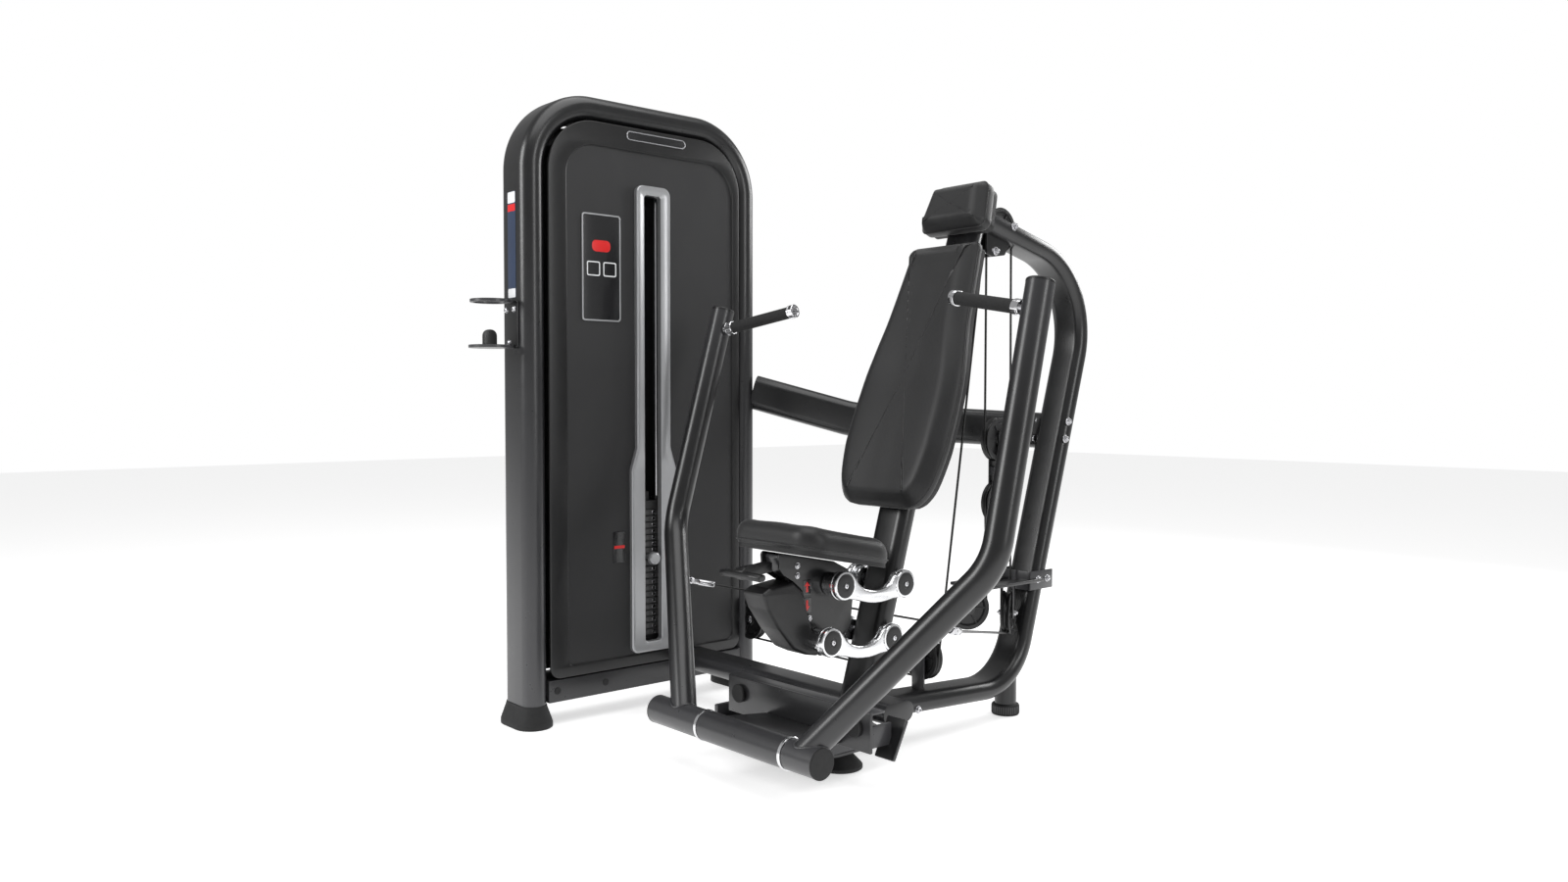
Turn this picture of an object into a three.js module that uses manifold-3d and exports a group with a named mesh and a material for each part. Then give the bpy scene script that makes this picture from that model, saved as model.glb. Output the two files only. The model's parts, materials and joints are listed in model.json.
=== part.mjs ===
// Chest press machine: weight-stack tower, bent-tube frame, two independent
// press arms on a floor-level pivot, four-bar adjustable seat, back and head
// pads, cable pulleys. Millimetres, +Z up. Working axes before the final
// shift: X = 0 is the user's centre plane (+X the user's left), Y = 0 is the
// press-arm pivot axis (the user faces -Y), Z = 0 is the floor.
import * as THREE from 'three';
import { mergeVertices } from 'three/addons/utils/BufferGeometryUtils.js';
import Module from 'manifold-3d';

const wasm = await Module();
wasm.setup();

// ---------------------------------------------------------------- dimensions
const GAP = 0.3;                       // running gap between touching pieces
const TOWER = { xc: -751.5, depth: 135, wall: 66, yc: 243.5, halfW: 346, top: 1605, r: 175, foot: 58 };
const SHROUD = { x: -692.2, z0: 121, z1: 1571 };
const SLOT = { yc: 251, w: 55, z0: 182, z1: 1396 };
const STACK = { xc: -742, pitch: 17.5, n: 20, lifted: 8, z0: 190, wY: 250, dX: 44 };
const PIVOT_Z = 111, ROOT_X = 201;
const ARM_R = 30, BEND = [527, 211.4, 520.4], TIP = [517.6, 364.2, 1062.9];
const EYE = [435, 196, 382];
const TUBE = { w: 100, h: 50 };
const UP_POST = [435, 410], LO_POST = [395, 287], LINK = [-197, 15];
const SEAT = { tilt: -0.2, y0: 75, y1: 350, halfX: 142, z: 511, t: 70 };
const BACK = { y0: 398, z0: 600, y1: 640, z1: 1245, t: 74 };
const PULLEY = { r: 57, groove: 49, w: 24, cable: 3 };
const SHIFT = [139.95, -489.95, 0];          // brings the origin under the middle of the box

// ------------------------------------------------------------------- helpers
const root = new THREE.Group();
const shifted = new THREE.Group();
shifted.position.set(...SHIFT);
root.add(shifted);

function clean(geo) {
  const g = geo.index ? geo.toNonIndexed() : geo.clone();
  for (const k of Object.keys(g.attributes)) if (k !== 'position') g.deleteAttribute(k);
  return mergeVertices(g, 1e-4);
}
function solid(geo) {
  const g = clean(geo);
  return new wasm.Manifold(new wasm.Mesh({
    numProp: 3, vertProperties: new Float32Array(g.attributes.position.array),
    triVerts: new Uint32Array(g.index.array) }));
}
function unsolid(m) {
  const q = m.getMesh();
  const g = new THREE.BufferGeometry();
  g.setAttribute('position', new THREE.BufferAttribute(new Float32Array(q.vertProperties), 3));
  g.setIndex(new THREE.BufferAttribute(new Uint32Array(q.triVerts), 1));
  return g;
}
const join = (...geos) => unsolid(geos.map(solid).reduce((a, b) => a.add(b)));
const cut = (geo, ...tools) => unsolid(tools.map(solid).reduce((a, b) => a.subtract(b), solid(geo)));
function mesh(name, geo, color, roughness = 0.5, metalness = 0.2) {
  const m = new THREE.Mesh(geo, new THREE.MeshStandardMaterial({ color, roughness, metalness }));
  m.name = name;
  shifted.add(m);
  return m;
}
const box = (x0, x1, y0, y1, z0, z1) =>
  new THREE.BoxGeometry(x1 - x0, y1 - y0, z1 - z0).translate((x0 + x1) / 2, (y0 + y1) / 2, (z0 + z1) / 2);
function rod(axis, r, a, b, c1, c2, seg = 20) {   // a..b along axis; c1,c2 the other two coordinates in order
  const g = new THREE.CylinderGeometry(r, r, b - a, seg);
  const m = (a + b) / 2;
  if (axis === 'x') return g.rotateZ(-Math.PI / 2).translate(m, c1, c2);
  if (axis === 'y') return g.translate(c1, m, c2);
  return g.rotateX(Math.PI / 2).translate(c1, c2, m);
}
function between(p, q, r, seg = 12) {             // round bar from p to q
  const a = new THREE.Vector3(...p), b = new THREE.Vector3(...q), d = b.clone().sub(a);
  const g = new THREE.CylinderGeometry(r, r, d.length(), seg);
  g.applyQuaternion(new THREE.Quaternion().setFromUnitVectors(new THREE.Vector3(0, 1, 0), d.clone().normalize()));
  const m = a.add(b).multiplyScalar(0.5);
  return g.translate(m.x, m.y, m.z);
}
function stadium(w, h, n = 6) {                   // flat-oval section, w along x
  const s = new THREE.Shape(), r = h / 2, k = w / 2 - r;
  for (let i = 0; i <= n; i++) {
    const a = -Math.PI / 2 + Math.PI * i / n;
    const x = k + r * Math.cos(a), y = r * Math.sin(a);
    i ? s.lineTo(x, y) : s.moveTo(x, y);
  }
  for (let i = 0; i <= n; i++) {
    const a = Math.PI / 2 + Math.PI * i / n;
    s.lineTo(-k + r * Math.cos(a), r * Math.sin(a));
  }
  s.closePath();
  return s;
}
const turned = (w, h, n = 6) => {                 // the same flat oval with its long side along shape y
  const s = new THREE.Shape(stadium(w, h, n).getPoints().slice(0, -1).map((p) => new THREE.Vector2(-p.y, p.x)));
  s.closePath();
  return s;
};
function disc(r, n = 12) {
  const s = new THREE.Shape();
  for (let i = 0; i < n; i++) {
    const a = 2 * Math.PI * i / n;
    i ? s.lineTo(r * Math.cos(a), r * Math.sin(a)) : s.moveTo(r, 0);
  }
  s.closePath();
  return s;
}
class Route extends THREE.Curve {                 // a polyline whose samples are its own points
  constructor(pts) { super(); this.pts = pts.map((p) => new THREE.Vector3(...p)); }
  getPoint(t, out = new THREE.Vector3()) {
    const n = this.pts.length - 1, u = Math.min(Math.max(t, 0), 1) * n, i = Math.min(Math.floor(u + 1e-9), n - 1);
    return out.copy(this.pts[i]).lerp(this.pts[i + 1], u - i);
  }
  getPointAt(u, out) { return this.getPoint(u, out); }
  getSpacedPoints(n) { const a = []; for (let i = 0; i <= n; i++) a.push(this.getPoint(i / n)); return a; }
  getTangentAt(u, out = new THREE.Vector3()) {
    const n = this.pts.length - 1, i = Math.round(u * n);
    const a = this.pts[Math.max(i - 1, 0)], m = this.pts[i], b = this.pts[Math.min(i + 1, n)];
    out.set(0, 0, 0);
    if (i > 0) out.add(m.clone().sub(a).normalize());
    if (i < n) out.add(b.clone().sub(m).normalize());
    return out.normalize();
  }
  getTangent(t, out) { return this.getTangentAt(t, out); }
}
const sweep = (shape, pts) => new THREE.ExtrudeGeometry(shape,
  { steps: pts.length - 1, bevelEnabled: false, extrudePath: new Route(pts) });
function fillet(pts, radii, n = 6) {              // round the inner corners of a 3-D polyline
  const P = pts.map((p) => new THREE.Vector3(...p)), out = [P[0].toArray()];
  for (let i = 1; i < P.length - 1; i++) {
    const a = P[i - 1].clone().sub(P[i]).normalize(), b = P[i + 1].clone().sub(P[i]).normalize();
    const th = a.angleTo(b), T = radii[i - 1] / Math.tan(th / 2);
    const bis = a.clone().add(b).normalize(), c = P[i].clone().addScaledVector(bis, radii[i - 1] / Math.sin(th / 2));
    const s = P[i].clone().addScaledVector(a, T).sub(c), e = P[i].clone().addScaledVector(b, T).sub(c);
    const tot = s.angleTo(e);
    for (let k = 0; k <= n; k++) {
      const w1 = Math.sin(tot * (1 - k / n)) / Math.sin(tot), w2 = Math.sin(tot * k / n) / Math.sin(tot);
      out.push(c.clone().addScaledVector(s, w1).addScaledVector(e, w2).toArray());
    }
  }
  out.push(P[P.length - 1].toArray());
  return out;
}
// plate in the YZ plane, outline [[y,z]...], between x0 and x1
function plateX(outline, x0, x1, holes = []) {
  const s = new THREE.Shape(outline.map(([y, z]) => new THREE.Vector2(y, z)));
  for (const h of holes) s.holes.push(new THREE.Path(h.map(([y, z]) => new THREE.Vector2(y, z))));
  const g = new THREE.ExtrudeGeometry(s, { depth: x1 - x0, bevelEnabled: false });
  // shape x->Y, shape y->Z, depth->X
  g.applyMatrix4(new THREE.Matrix4().set(0, 0, 1, x0, 1, 0, 0, 0, 0, 1, 0, 0, 0, 0, 0, 1));
  return g;
}
function plateZ(outline, z0, z1, holes = []) {     // outline [[x,y]...]
  const s = new THREE.Shape(outline.map(([x, y]) => new THREE.Vector2(x, y)));
  for (const h of holes) s.holes.push(new THREE.Path(h.map(([x, y]) => new THREE.Vector2(x, y))));
  return new THREE.ExtrudeGeometry(s, { depth: z1 - z0, bevelEnabled: false }).translate(0, 0, z0);
}
const ring2 = (r, cy, cz, n = 24) => Array.from({ length: n }, (_, i) =>
  [cy + r * Math.cos(2 * Math.PI * i / n), cz + r * Math.sin(2 * Math.PI * i / n)]);
function rounded(x0, x1, y0, y1, r, n = 4) {
  const out = [];
  for (const [cx, cy, a0] of [[x1 - r, y1 - r, 0], [x0 + r, y1 - r, 90], [x0 + r, y0 + r, 180], [x1 - r, y0 + r, 270]])
    for (let i = 0; i <= n; i++) {
      const a = (a0 + 90 * i / n) * Math.PI / 180;
      out.push([cx + r * Math.cos(a), cy + r * Math.sin(a)]);
    }
  return out;
}
// grooved cable pulley on an axle, turned to any axis direction
function pulley(c, axis = [1, 0, 0], seg = 20) {
  const { r, groove, w } = PULLEY, b = 6.5;
  const prof = [[b, -w / 2], [b, w / 2], [20, w / 2], [groove - 6, w / 2 - 5], [r, w / 2 - 2], [groove, 2.6],
    [groove, -2.6], [r, -w / 2 + 2], [groove - 6, -w / 2 + 5], [20, -w / 2], [b, -w / 2]]
    .map(([x, y]) => new THREE.Vector2(x, y));
  const g = new THREE.LatheGeometry(prof, seg);
  g.applyQuaternion(new THREE.Quaternion().setFromUnitVectors(new THREE.Vector3(0, 1, 0), new THREE.Vector3(...axis).normalize()));
  const q = g.translate(...c);
  const s = solid(q);
  return unsolid(s.volume() < 0 ? solid(flip(q)) : s);
}
function flip(geo) {
  const g = clean(geo), i = g.index.array;
  for (let k = 0; k < i.length; k += 3) [i[k + 1], i[k + 2]] = [i[k + 2], i[k + 1]];
  return g;
}
// two cheek plates and an axle holding a pulley; the plates are joined by a web
function lerp3(a, b, t) { return a.map((v, i) => v + (b[i] - v) * t); }

const BLACK = 0x26272a, DARK = 0x1b1c1e, STEEL = 0xb9bcc0, SILVER = 0x9ea1a5, PADC = 0x1d1e20;

// --------------------------------------------------------------------- tower
{
  const { xc, depth, wall, yc, halfW, top, r, foot } = TOWER;
  const path = fillet([[xc, yc - halfW, foot], [xc, yc - halfW, top], [xc, yc + halfW, top], [xc, yc + halfW, foot]], [r, r], 8);
  const arch = sweep(turned(depth, wall, 8), path);
  const crossbar = join(box(xc - 60, -693, yc - halfW, yc + halfW, 58.5, 118),
    rod('x', 17, -694, -689, -73 + 25, 88, 16), rod('x', 17, -694, -689, 98, 88, 16));
  mesh('tower_arch', cut(join(arch, crossbar), box(-745, -660, yc + halfW - 15, yc + halfW + 15, 138, 272),
    rod('z', 5, 130, 262, -720.6, yc + halfW, 10)), BLACK, 0.42, 0.35);
  for (const [n, y] of [['tower_boot_front', yc - halfW], ['tower_boot_rear', yc + halfW]]) {
    const g = new THREE.CylinderGeometry(1, 1, foot - GAP, 4, 1);
    const a = [];
    const sec = (w, h, z) => stadium(w, h, 6).getPoints().slice(0, -1).map((p) => [xc + p.x, y + p.y, z]);
    const lo = sec(depth + 34, wall + 34, 0), mi = sec(depth + 10, wall + 10, 30), hi = sec(depth + 2, wall + 2, foot - GAP);
    const rings = [lo, mi, hi], N = lo.length, pos = [], idx = [];
    for (const q of rings) for (const p of q) pos.push(...p);
    pos.push(xc, y, 0, xc, y, foot - GAP);
    for (let k = 0; k < 2; k++) for (let i = 0; i < N; i++) {
      const j = (i + 1) % N, A = k * N + i, B = k * N + j, C = (k + 1) * N + j, D = (k + 1) * N + i;
      idx.push(A, B, C, A, C, D);
    }
    for (let i = 0; i < N; i++) { const j = (i + 1) % N; idx.push(3 * N, j, i, 3 * N + 1, 2 * N + i, 2 * N + j); }
    const b = new THREE.BufferGeometry();
    b.setAttribute('position', new THREE.BufferAttribute(new Float32Array(pos), 3));
    b.setIndex(idx);
    const s = solid(b);
    mesh(n, s.volume() < 0 ? unsolid(solid(flip(b))) : unsolid(s), DARK, 0.85, 0);
  }
  // moulded covers front and back, inside the arch
  const yi0 = yc - halfW + wall / 2 + 1, yi1 = yc + halfW - wall / 2 - 1;
  const outer = rounded(yi0, yi1, SHROUD.z0, SHROUD.z1, 36, 4);
  for (const [i, p] of outer.entries()) if (p[1] > 1400) {                 // larger radius at the crown
    const cy = p[0] > yc ? yi1 - 141 : yi0 + 141, cz = SHROUD.z1 - 141, a = Math.atan2(p[1] - (SHROUD.z1 - 36), p[0] - (p[0] > yc ? yi1 - 36 : yi0 + 36));
    outer[i] = [cy + 141 * Math.cos(a), cz + 141 * Math.sin(a)];
  }
  const slot = rounded(SLOT.yc - SLOT.w / 2 - 18, SLOT.yc + SLOT.w / 2 + 18, SLOT.z0 - 12, SLOT.z1 + 12, 8, 3);
  mesh('shroud_front', plateX(outer, SHROUD.x, SHROUD.x + 8, [slot]), DARK, 0.6, 0);
  mesh('shroud_rear', plateX(outer, -815, -807), DARK, 0.6, 0);
  const trimOut = rounded(SLOT.yc - 45, SLOT.yc + 45, SLOT.z0 - 11.5, SLOT.z1 + 11.5, 8, 3);
  const lip = [[SLOT.yc - 73, 155], [SLOT.yc + 73, 155], [SLOT.yc + 73, 665], [SLOT.yc + 55, 715], [SLOT.yc + 55, 1420], [SLOT.yc - 55, 1420], [SLOT.yc - 55, 715], [SLOT.yc - 73, 665]];
  const open = rounded(SLOT.yc - SLOT.w / 2, SLOT.yc + SLOT.w / 2, SLOT.z0, SLOT.z1, 10, 3);
  mesh('slot_trim', join(plateX(lip, SHROUD.x + 8 + GAP, SHROUD.x + 13, [open]), plateX(trimOut, SHROUD.x - 8, SHROUD.x + 9, [open])), SILVER, 0.4, 0.5);
  // guide rods, crown bracket and crown pulley, buffer under the stack
  for (const [n, y] of [['guide_rod_front', SLOT.yc - 52], ['guide_rod_rear', SLOT.yc + 52]])
    mesh(n, rod('z', 9, 118 + GAP, 1405 - GAP, STACK.xc, y, 12), STEEL, 0.15, 0.95);
  const cy = SLOT.yc + 52;
  const Z = 1480;                        // crown pulley height, clear of the rod tops
  mesh('crown_bracket', cut(join(
    box(STACK.xc - 24, STACK.xc + 24, SLOT.yc - 66, cy + 66, 1560, 1571.7),
    box(STACK.xc - 24, STACK.xc - 16, SLOT.yc - 66, cy + 66, 1405, 1562),
    box(STACK.xc + 16, STACK.xc + 24, SLOT.yc - 66, cy + 66, 1405, 1562),
    box(STACK.xc - 24, STACK.xc + 24, SLOT.yc - 66, cy + 16, 1405, 1413),
    rod('x', 6, STACK.xc - 20, STACK.xc + 20, cy, Z, 16)), rod('z', 8, 1400, 1420, STACK.xc, SLOT.yc, 12)), BLACK, 0.5, 0.4);
  mesh('crown_pulley', pulley([STACK.xc, cy, Z]), DARK, 0.45, 0.1);
  mesh('stack_buffer', cut(box(STACK.xc - 22, STACK.xc + 22, SLOT.yc - 110, SLOT.yc + 110, 118 + GAP, STACK.z0 - GAP),
    rod('z', 9.6, 100, 200, STACK.xc, SLOT.yc - 52, 12), rod('z', 9.6, 100, 200, STACK.xc, SLOT.yc + 52, 12)), DARK, 0.9, 0);
}

// -------------------------------------------------------------- weight stack
{
  const { xc, pitch, n, lifted, z0, wY, dX } = STACK;
  const holes = [rod('z', 10.5, 0, 1700, xc, SLOT.yc - 52, 12), rod('z', 10.5, 0, 1700, xc, SLOT.yc + 52, 12)];
  const core = (a, b) => box(xc - dX / 2 + 3, xc + dX / 2 - 3, SLOT.yc - wY / 2 + 3, SLOT.yc + wY / 2 - 3, a + 0.5, b - 0.5);
  function block(from, to) {
    const za = z0 + from * pitch, zb = z0 + to * pitch;
    const parts = [core(za, zb)];
    for (let i = from; i < to; i++) parts.push(box(xc - dX / 2, xc + dX / 2, SLOT.yc - wY / 2, SLOT.yc + wY / 2, z0 + i * pitch + 0.9, z0 + (i + 1) * pitch - 0.9));
    return join(...parts);
  }
  const rodHole = rod('z', 12.5, 0, 1700, xc, SLOT.yc, 12);
  const rest = n - lifted, zPin = z0 + rest * pitch + pitch / 2;
  mesh('resting_plates', cut(block(0, rest), ...holes, rodHole), 0x1a1a1b, 0.55, 0.3);
  mesh('lifted_plates', cut(block(rest, n), ...holes, rodHole, rod('x', 5.2, xc, xc + 60, SLOT.yc, zPin, 12)), 0x1a1a1b, 0.55, 0.3);
  const zt = z0 + n * pitch;
  mesh('head_plate', join(cut(box(xc - dX / 2, xc + dX / 2, SLOT.yc - wY / 2, SLOT.yc + wY / 2, zt + GAP, zt + 24), ...holes, rodHole),
    cut(box(xc - 16, xc + 16, SLOT.yc - 16, SLOT.yc + 16, zt + 22, zt + 50), rod('z', 12.5, 0, zt + 40, xc, SLOT.yc, 12))), 0x222224, 0.5, 0.4);
  mesh('selector_rod', cut(rod('z', 12, z0 + 6, zt + 39, xc, SLOT.yc, 12), rod('x', 5.2, xc - 5, xc + 60, SLOT.yc, zPin, 12)), STEEL, 0.25, 0.9);
  mesh('selector_pin', join(rod('x', 4.8, xc - 4, -684, SLOT.yc, zPin, 12), rod('x', 17, -700, -672, SLOT.yc, zPin, 20)), STEEL, 0.2, 0.9);
  mesh('stack_cable', rod('z', PULLEY.cable, zt + 50 + GAP, 1480, xc, SLOT.yc - 0.3, 8), DARK, 0.5, 0.1);
}

// ---------------------------------------------------------- base and supports
const postPath = fillet([[0, 361, 128], [0, 503, 600], [0, 758, 1300]], [900], 3);
const postCut = fillet([[0, 355, 108], [0, 503, 600], [0, 765.3, 1320]], [900], 3);
{
  const beamX0 = -683.5;
  const beam = sweep(turned(100, 50, 6), [[beamX0, 385, 117], [112, 385, 117]]);
  // stub that carries the beam back to the tower crossbar
  const stub = box(-692.7, -640, 345, 425, 96, 117);
  const post = sweep(stadium(TUBE.w + 1, TUBE.h + 1, 6), postCut);
  mesh('base_beam', cut(join(beam, stub), post), BLACK, 0.42, 0.35);
  const cross = join(
    box(-240, 240, 160.7, 169, 92, 181),
    box(-240, 240, 160.7, 200, 173, 181),
    box(-118, -106, 165, 336, 60, 110), box(106, 118, 165, 336, 60, 110),
    box(-310, 118, 165, 336, 54, 62),
    box(-100, 150, 40, 166, 96, 116), box(-310, -298, 165, 336, 54, 90), box(-300, -106, 165, 177, 54, 100),
    rod('y', 22, 151, 162, 195, 143, 20), rod('y', 22, 151, 162, -195, 143, 20));
  const beamOuter = sweep(turned(100.8, 50.8, 6), [[-700, 385, 117], [130, 385, 117]]);
  mesh('cross_frame', cut(cross, beamOuter, rod('x', 34.4, -115, 166, 0, PIVOT_Z, 24)), BLACK, 0.42, 0.35);
  mesh('foot_left', rod('z', 24, 0, 54 - GAP, 45, 259, 20), DARK, 0.85, 0);
  mesh('foot_right', rod('z', 24, 0, 54 - GAP, -270, 245, 20), DARK, 0.85, 0);
  const loopPts = fillet([[0, 437, 106], [0, 923, 80], [0, 1264.5, 1191], [0, 792, 1304]], [165, 225], 8);
  const gusset = [[806, 1222], [880, 1222], [880, 1275], [806, 1290]];
  mesh('loop_frame', join(cut(sweep(stadium(TUBE.w, TUBE.h, 6), loopPts), beamOuter, box(-14.5, 14.5, 815, 941, 1200, 1400)),
    plateX(gusset, 14.5, 20.5), plateX(gusset, -20.5, -14.5), rod('x', 4.5, -17, 17, 829, 1232, 10),
    rod('x', 6, -20, 20, 878, 1290, 14), box(-20, 20, 578, 584, 116, 126),
    plateX([[571, 112], [577, 112], [577, 210], [571, 210]], -20, 20), rod('y', 6, 574, 602, 0, 202, 14)), BLACK, 0.42, 0.35);
  mesh('seat_post', cut(sweep(stadium(TUBE.w, TUBE.h, 6), postPath), sweep(stadium(TUBE.w + 0.6, TUBE.h + 0.6, 6), loopPts)), BLACK, 0.42, 0.35);
  mesh('rear_foot', join(rod('z', 29, 18, 55, 0, 921, 20), rod('z', 33, 0, 28, 0, 921, 24)), DARK, 0.8, 0);
  // upper beam: from the rear tower leg down and across to the loop upright
  const ub = fillet([[-690, 611, 868], [-472, 807, 786], [-60, 1140, 757]], [260], 5);
  const legCut = sweep(turned(TOWER.depth + 1, TOWER.wall + 1, 8),
    [[TOWER.xc, TOWER.yc + TOWER.halfW, 600], [TOWER.xc, TOWER.yc + TOWER.halfW, 1100]]);
  const loopBig = sweep(stadium(TUBE.w + 0.6, TUBE.h + 0.6, 6), loopPts);
  mesh('upper_beam', cut(sweep(stadium(TUBE.w, TUBE.h, 6), ub), legCut, loopBig), BLACK, 0.42, 0.35);
}

// ----------------------------------------------------------- arms and pivot
{
  const bore = rod('x', 12.5, -340, 300, 0, PIVOT_Z, 24);
  mesh('pivot_shaft', rod('x', 12, -299, 258, 0, PIVOT_Z, 24), STEEL, 0.2, 0.9);
  mesh('pivot_housing', cut(rod('x', 34, -112, 163, 0, PIVOT_Z, 24), bore), BLACK, 0.42, 0.35);
  const side = (s) => {
    const path = fillet([[s * ROOT_X, 0, PIVOT_Z], [s * BEND[0], BEND[1], BEND[2]], [s * TIP[0], TIP[1], TIP[2] + 18]], [150], 6);
    const arm = sweep(disc(ARM_R, 18), path);
    const sleeve = s > 0 ? rod('x', 33, 166, 262, 0, PIVOT_Z, 24) : rod('x', 33, -303, -115, 0, PIVOT_Z, 24);
    const eyeArm = [s * EYE[0], EYE[1] - 26, EYE[2] + 14];
    const lug = between([s * EYE[0], 150, 404], [s * EYE[0], EYE[1] + 4, EYE[2] - 2], 9, 10);
    const shaftBore = s > 0 ? rod('x', 12.5, 150, 259, 0, PIVOT_Z, 24) : rod('x', 12.5, -300, -100, 0, PIVOT_Z, 24);
    mesh(s > 0 ? 'left_arm' : 'right_arm', cut(join(arm, sleeve, lug), shaftBore), BLACK, 0.42, 0.35);
    // handle: steel bar with end collars, and the rubber grip around it
    const a = [s * 487, 352, 1030], b = [s * 262, 395, 1068];
    const big = sweep(disc(ARM_R + 0.35, 18), path);
    const h0 = lerp3(a, b, 0.02), h1 = lerp3(a, b, 0.115), h2 = lerp3(a, b, 0.925);
    const bar = join(between(lerp3(a, b, -0.03), b, 10, 12), between(h0, h1, 17.5, 18), between(h2, b, 17.5, 18));
    mesh(s > 0 ? 'left_handle' : 'right_handle', cut(bar, big), STEEL, 0.25, 0.9);
    const g0 = lerp3(a, b, 0.117), g1 = lerp3(a, b, 0.923);
    mesh(s > 0 ? 'left_grip' : 'right_grip', cut(between(g0, g1, 15, 16), between(a, b, 10.4, 12)), DARK, 0.8, 0);
    // tilted stop plate on a web behind the end of the cross plate
    const plate = new THREE.BoxGeometry(56, 8, 92).rotateX(-27.3 * Math.PI / 180).translate(s * 230, 236, 112);
    const web = box(s > 0 ? 224 : -232, s > 0 ? 232 : -224, 169.4, 236, 100.6, 150);
    mesh(s > 0 ? 'stop_left' : 'stop_right', join(plate, web), BLACK, 0.5, 0.3);
  };
  side(1); side(-1);
}

// ------------------------------------------------------------ seat mechanism
{
  const [uy, uz] = UP_POST, [ly, lz] = LO_POST;
  const uc = [uy + LINK[0], uz + LINK[1]], lc = [ly + LINK[0], lz + LINK[1]];
  function link(py, pz) {                     // outline of a bellied dog-bone from carriage end to post end
    const L = LINK, o = [];
    const A = [py + L[0], pz + L[1]], B = [py, pz], R = 31;
    for (let i = 0; i <= 8; i++) { const a = (70 + 200 * i / 8) * Math.PI / 180; o.push([A[0] + R * Math.cos(a), A[1] + R * Math.sin(a)]); }
    for (const [t, d] of [[0.3, -39], [0.5, -42], [0.7, -39]]) o.push([A[0] - L[0] * t, A[1] - L[1] * t + d]);
    for (let i = 0; i <= 8; i++) { const a = (-90 + 200 * i / 8) * Math.PI / 180; o.push([B[0] + R * Math.cos(a), B[1] + R * Math.sin(a)]); }
    for (const [t, d] of [[0.72, -2], [0.5, -12], [0.28, -2]]) o.push([A[0] - L[0] * t, A[1] - L[1] * t + d]);
    return o;
  }
  for (const [name, p] of [['upper', UP_POST], ['lower', LO_POST]]) for (const s of [1, -1]) {
    const x = (a, b) => s > 0 ? [a, b] : [-b, -a];
    const pl = plateX(link(...p), ...x(62, 88));
    const b1 = rod('x', 27, ...x(33, 64), p[0] + LINK[0], p[1] + LINK[1], 20);
    const b2 = rod('x', 27, ...x(50.6, 64), p[0], p[1], 20);
    mesh(`link_${name}_${s > 0 ? 'left' : 'right'}`, join(pl, b1, b2), STEEL, 0.3, 0.9);
  }
  const car = [[84, 508], [252, 474.4], [300, 452], [316, 405], [306, 318], [262, 284], [214, 262], [207.5, 263], [153.5, 419], [128, 440], [100, 456], [88, 470]];
  mesh('seat_carriage', plateX(car, -32, 32), BLACK, 0.5, 0.3);
  const cov = [[37, 421], [58, 431], [127, 439], [152.5, 418], [206.5, 262.5], [166, 272], [128, 289], [85, 339], [52, 388]];
  mesh('seat_cover', cut(plateX(cov, -37, 37), rod('x', 28.5, 32, 40, lc[0], lc[1], 20), rod('x', 28.5, -40, -32, lc[0], lc[1], 20)), DARK, 0.6, 0);
  mesh('seat_lever', join(plateX([[-6, 462], [2, 454], [50, 461], [83, 466], [83, 486], [50, 481], [4, 478]], -16, 16),
    box(-60, 60, 0, 12, 456, 472)), DARK, 0.6, 0);
  // seat pad: tilted, rounded block
  const out = rounded(-SEAT.halfX, SEAT.halfX, -(SEAT.y1 - SEAT.y0) / 2, (SEAT.y1 - SEAT.y0) / 2, 60, 4);
  const seat = plateZ(out, 0, SEAT.t);
  const ym = (SEAT.y0 + SEAT.y1) / 2, ang = Math.atan(SEAT.tilt);
  seat.rotateX(ang).translate(0, ym, SEAT.z + SEAT.tilt * (ym - SEAT.y0) + GAP);
  mesh('seat_cushion', seat, PADC, 0.7, 0);
}

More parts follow.
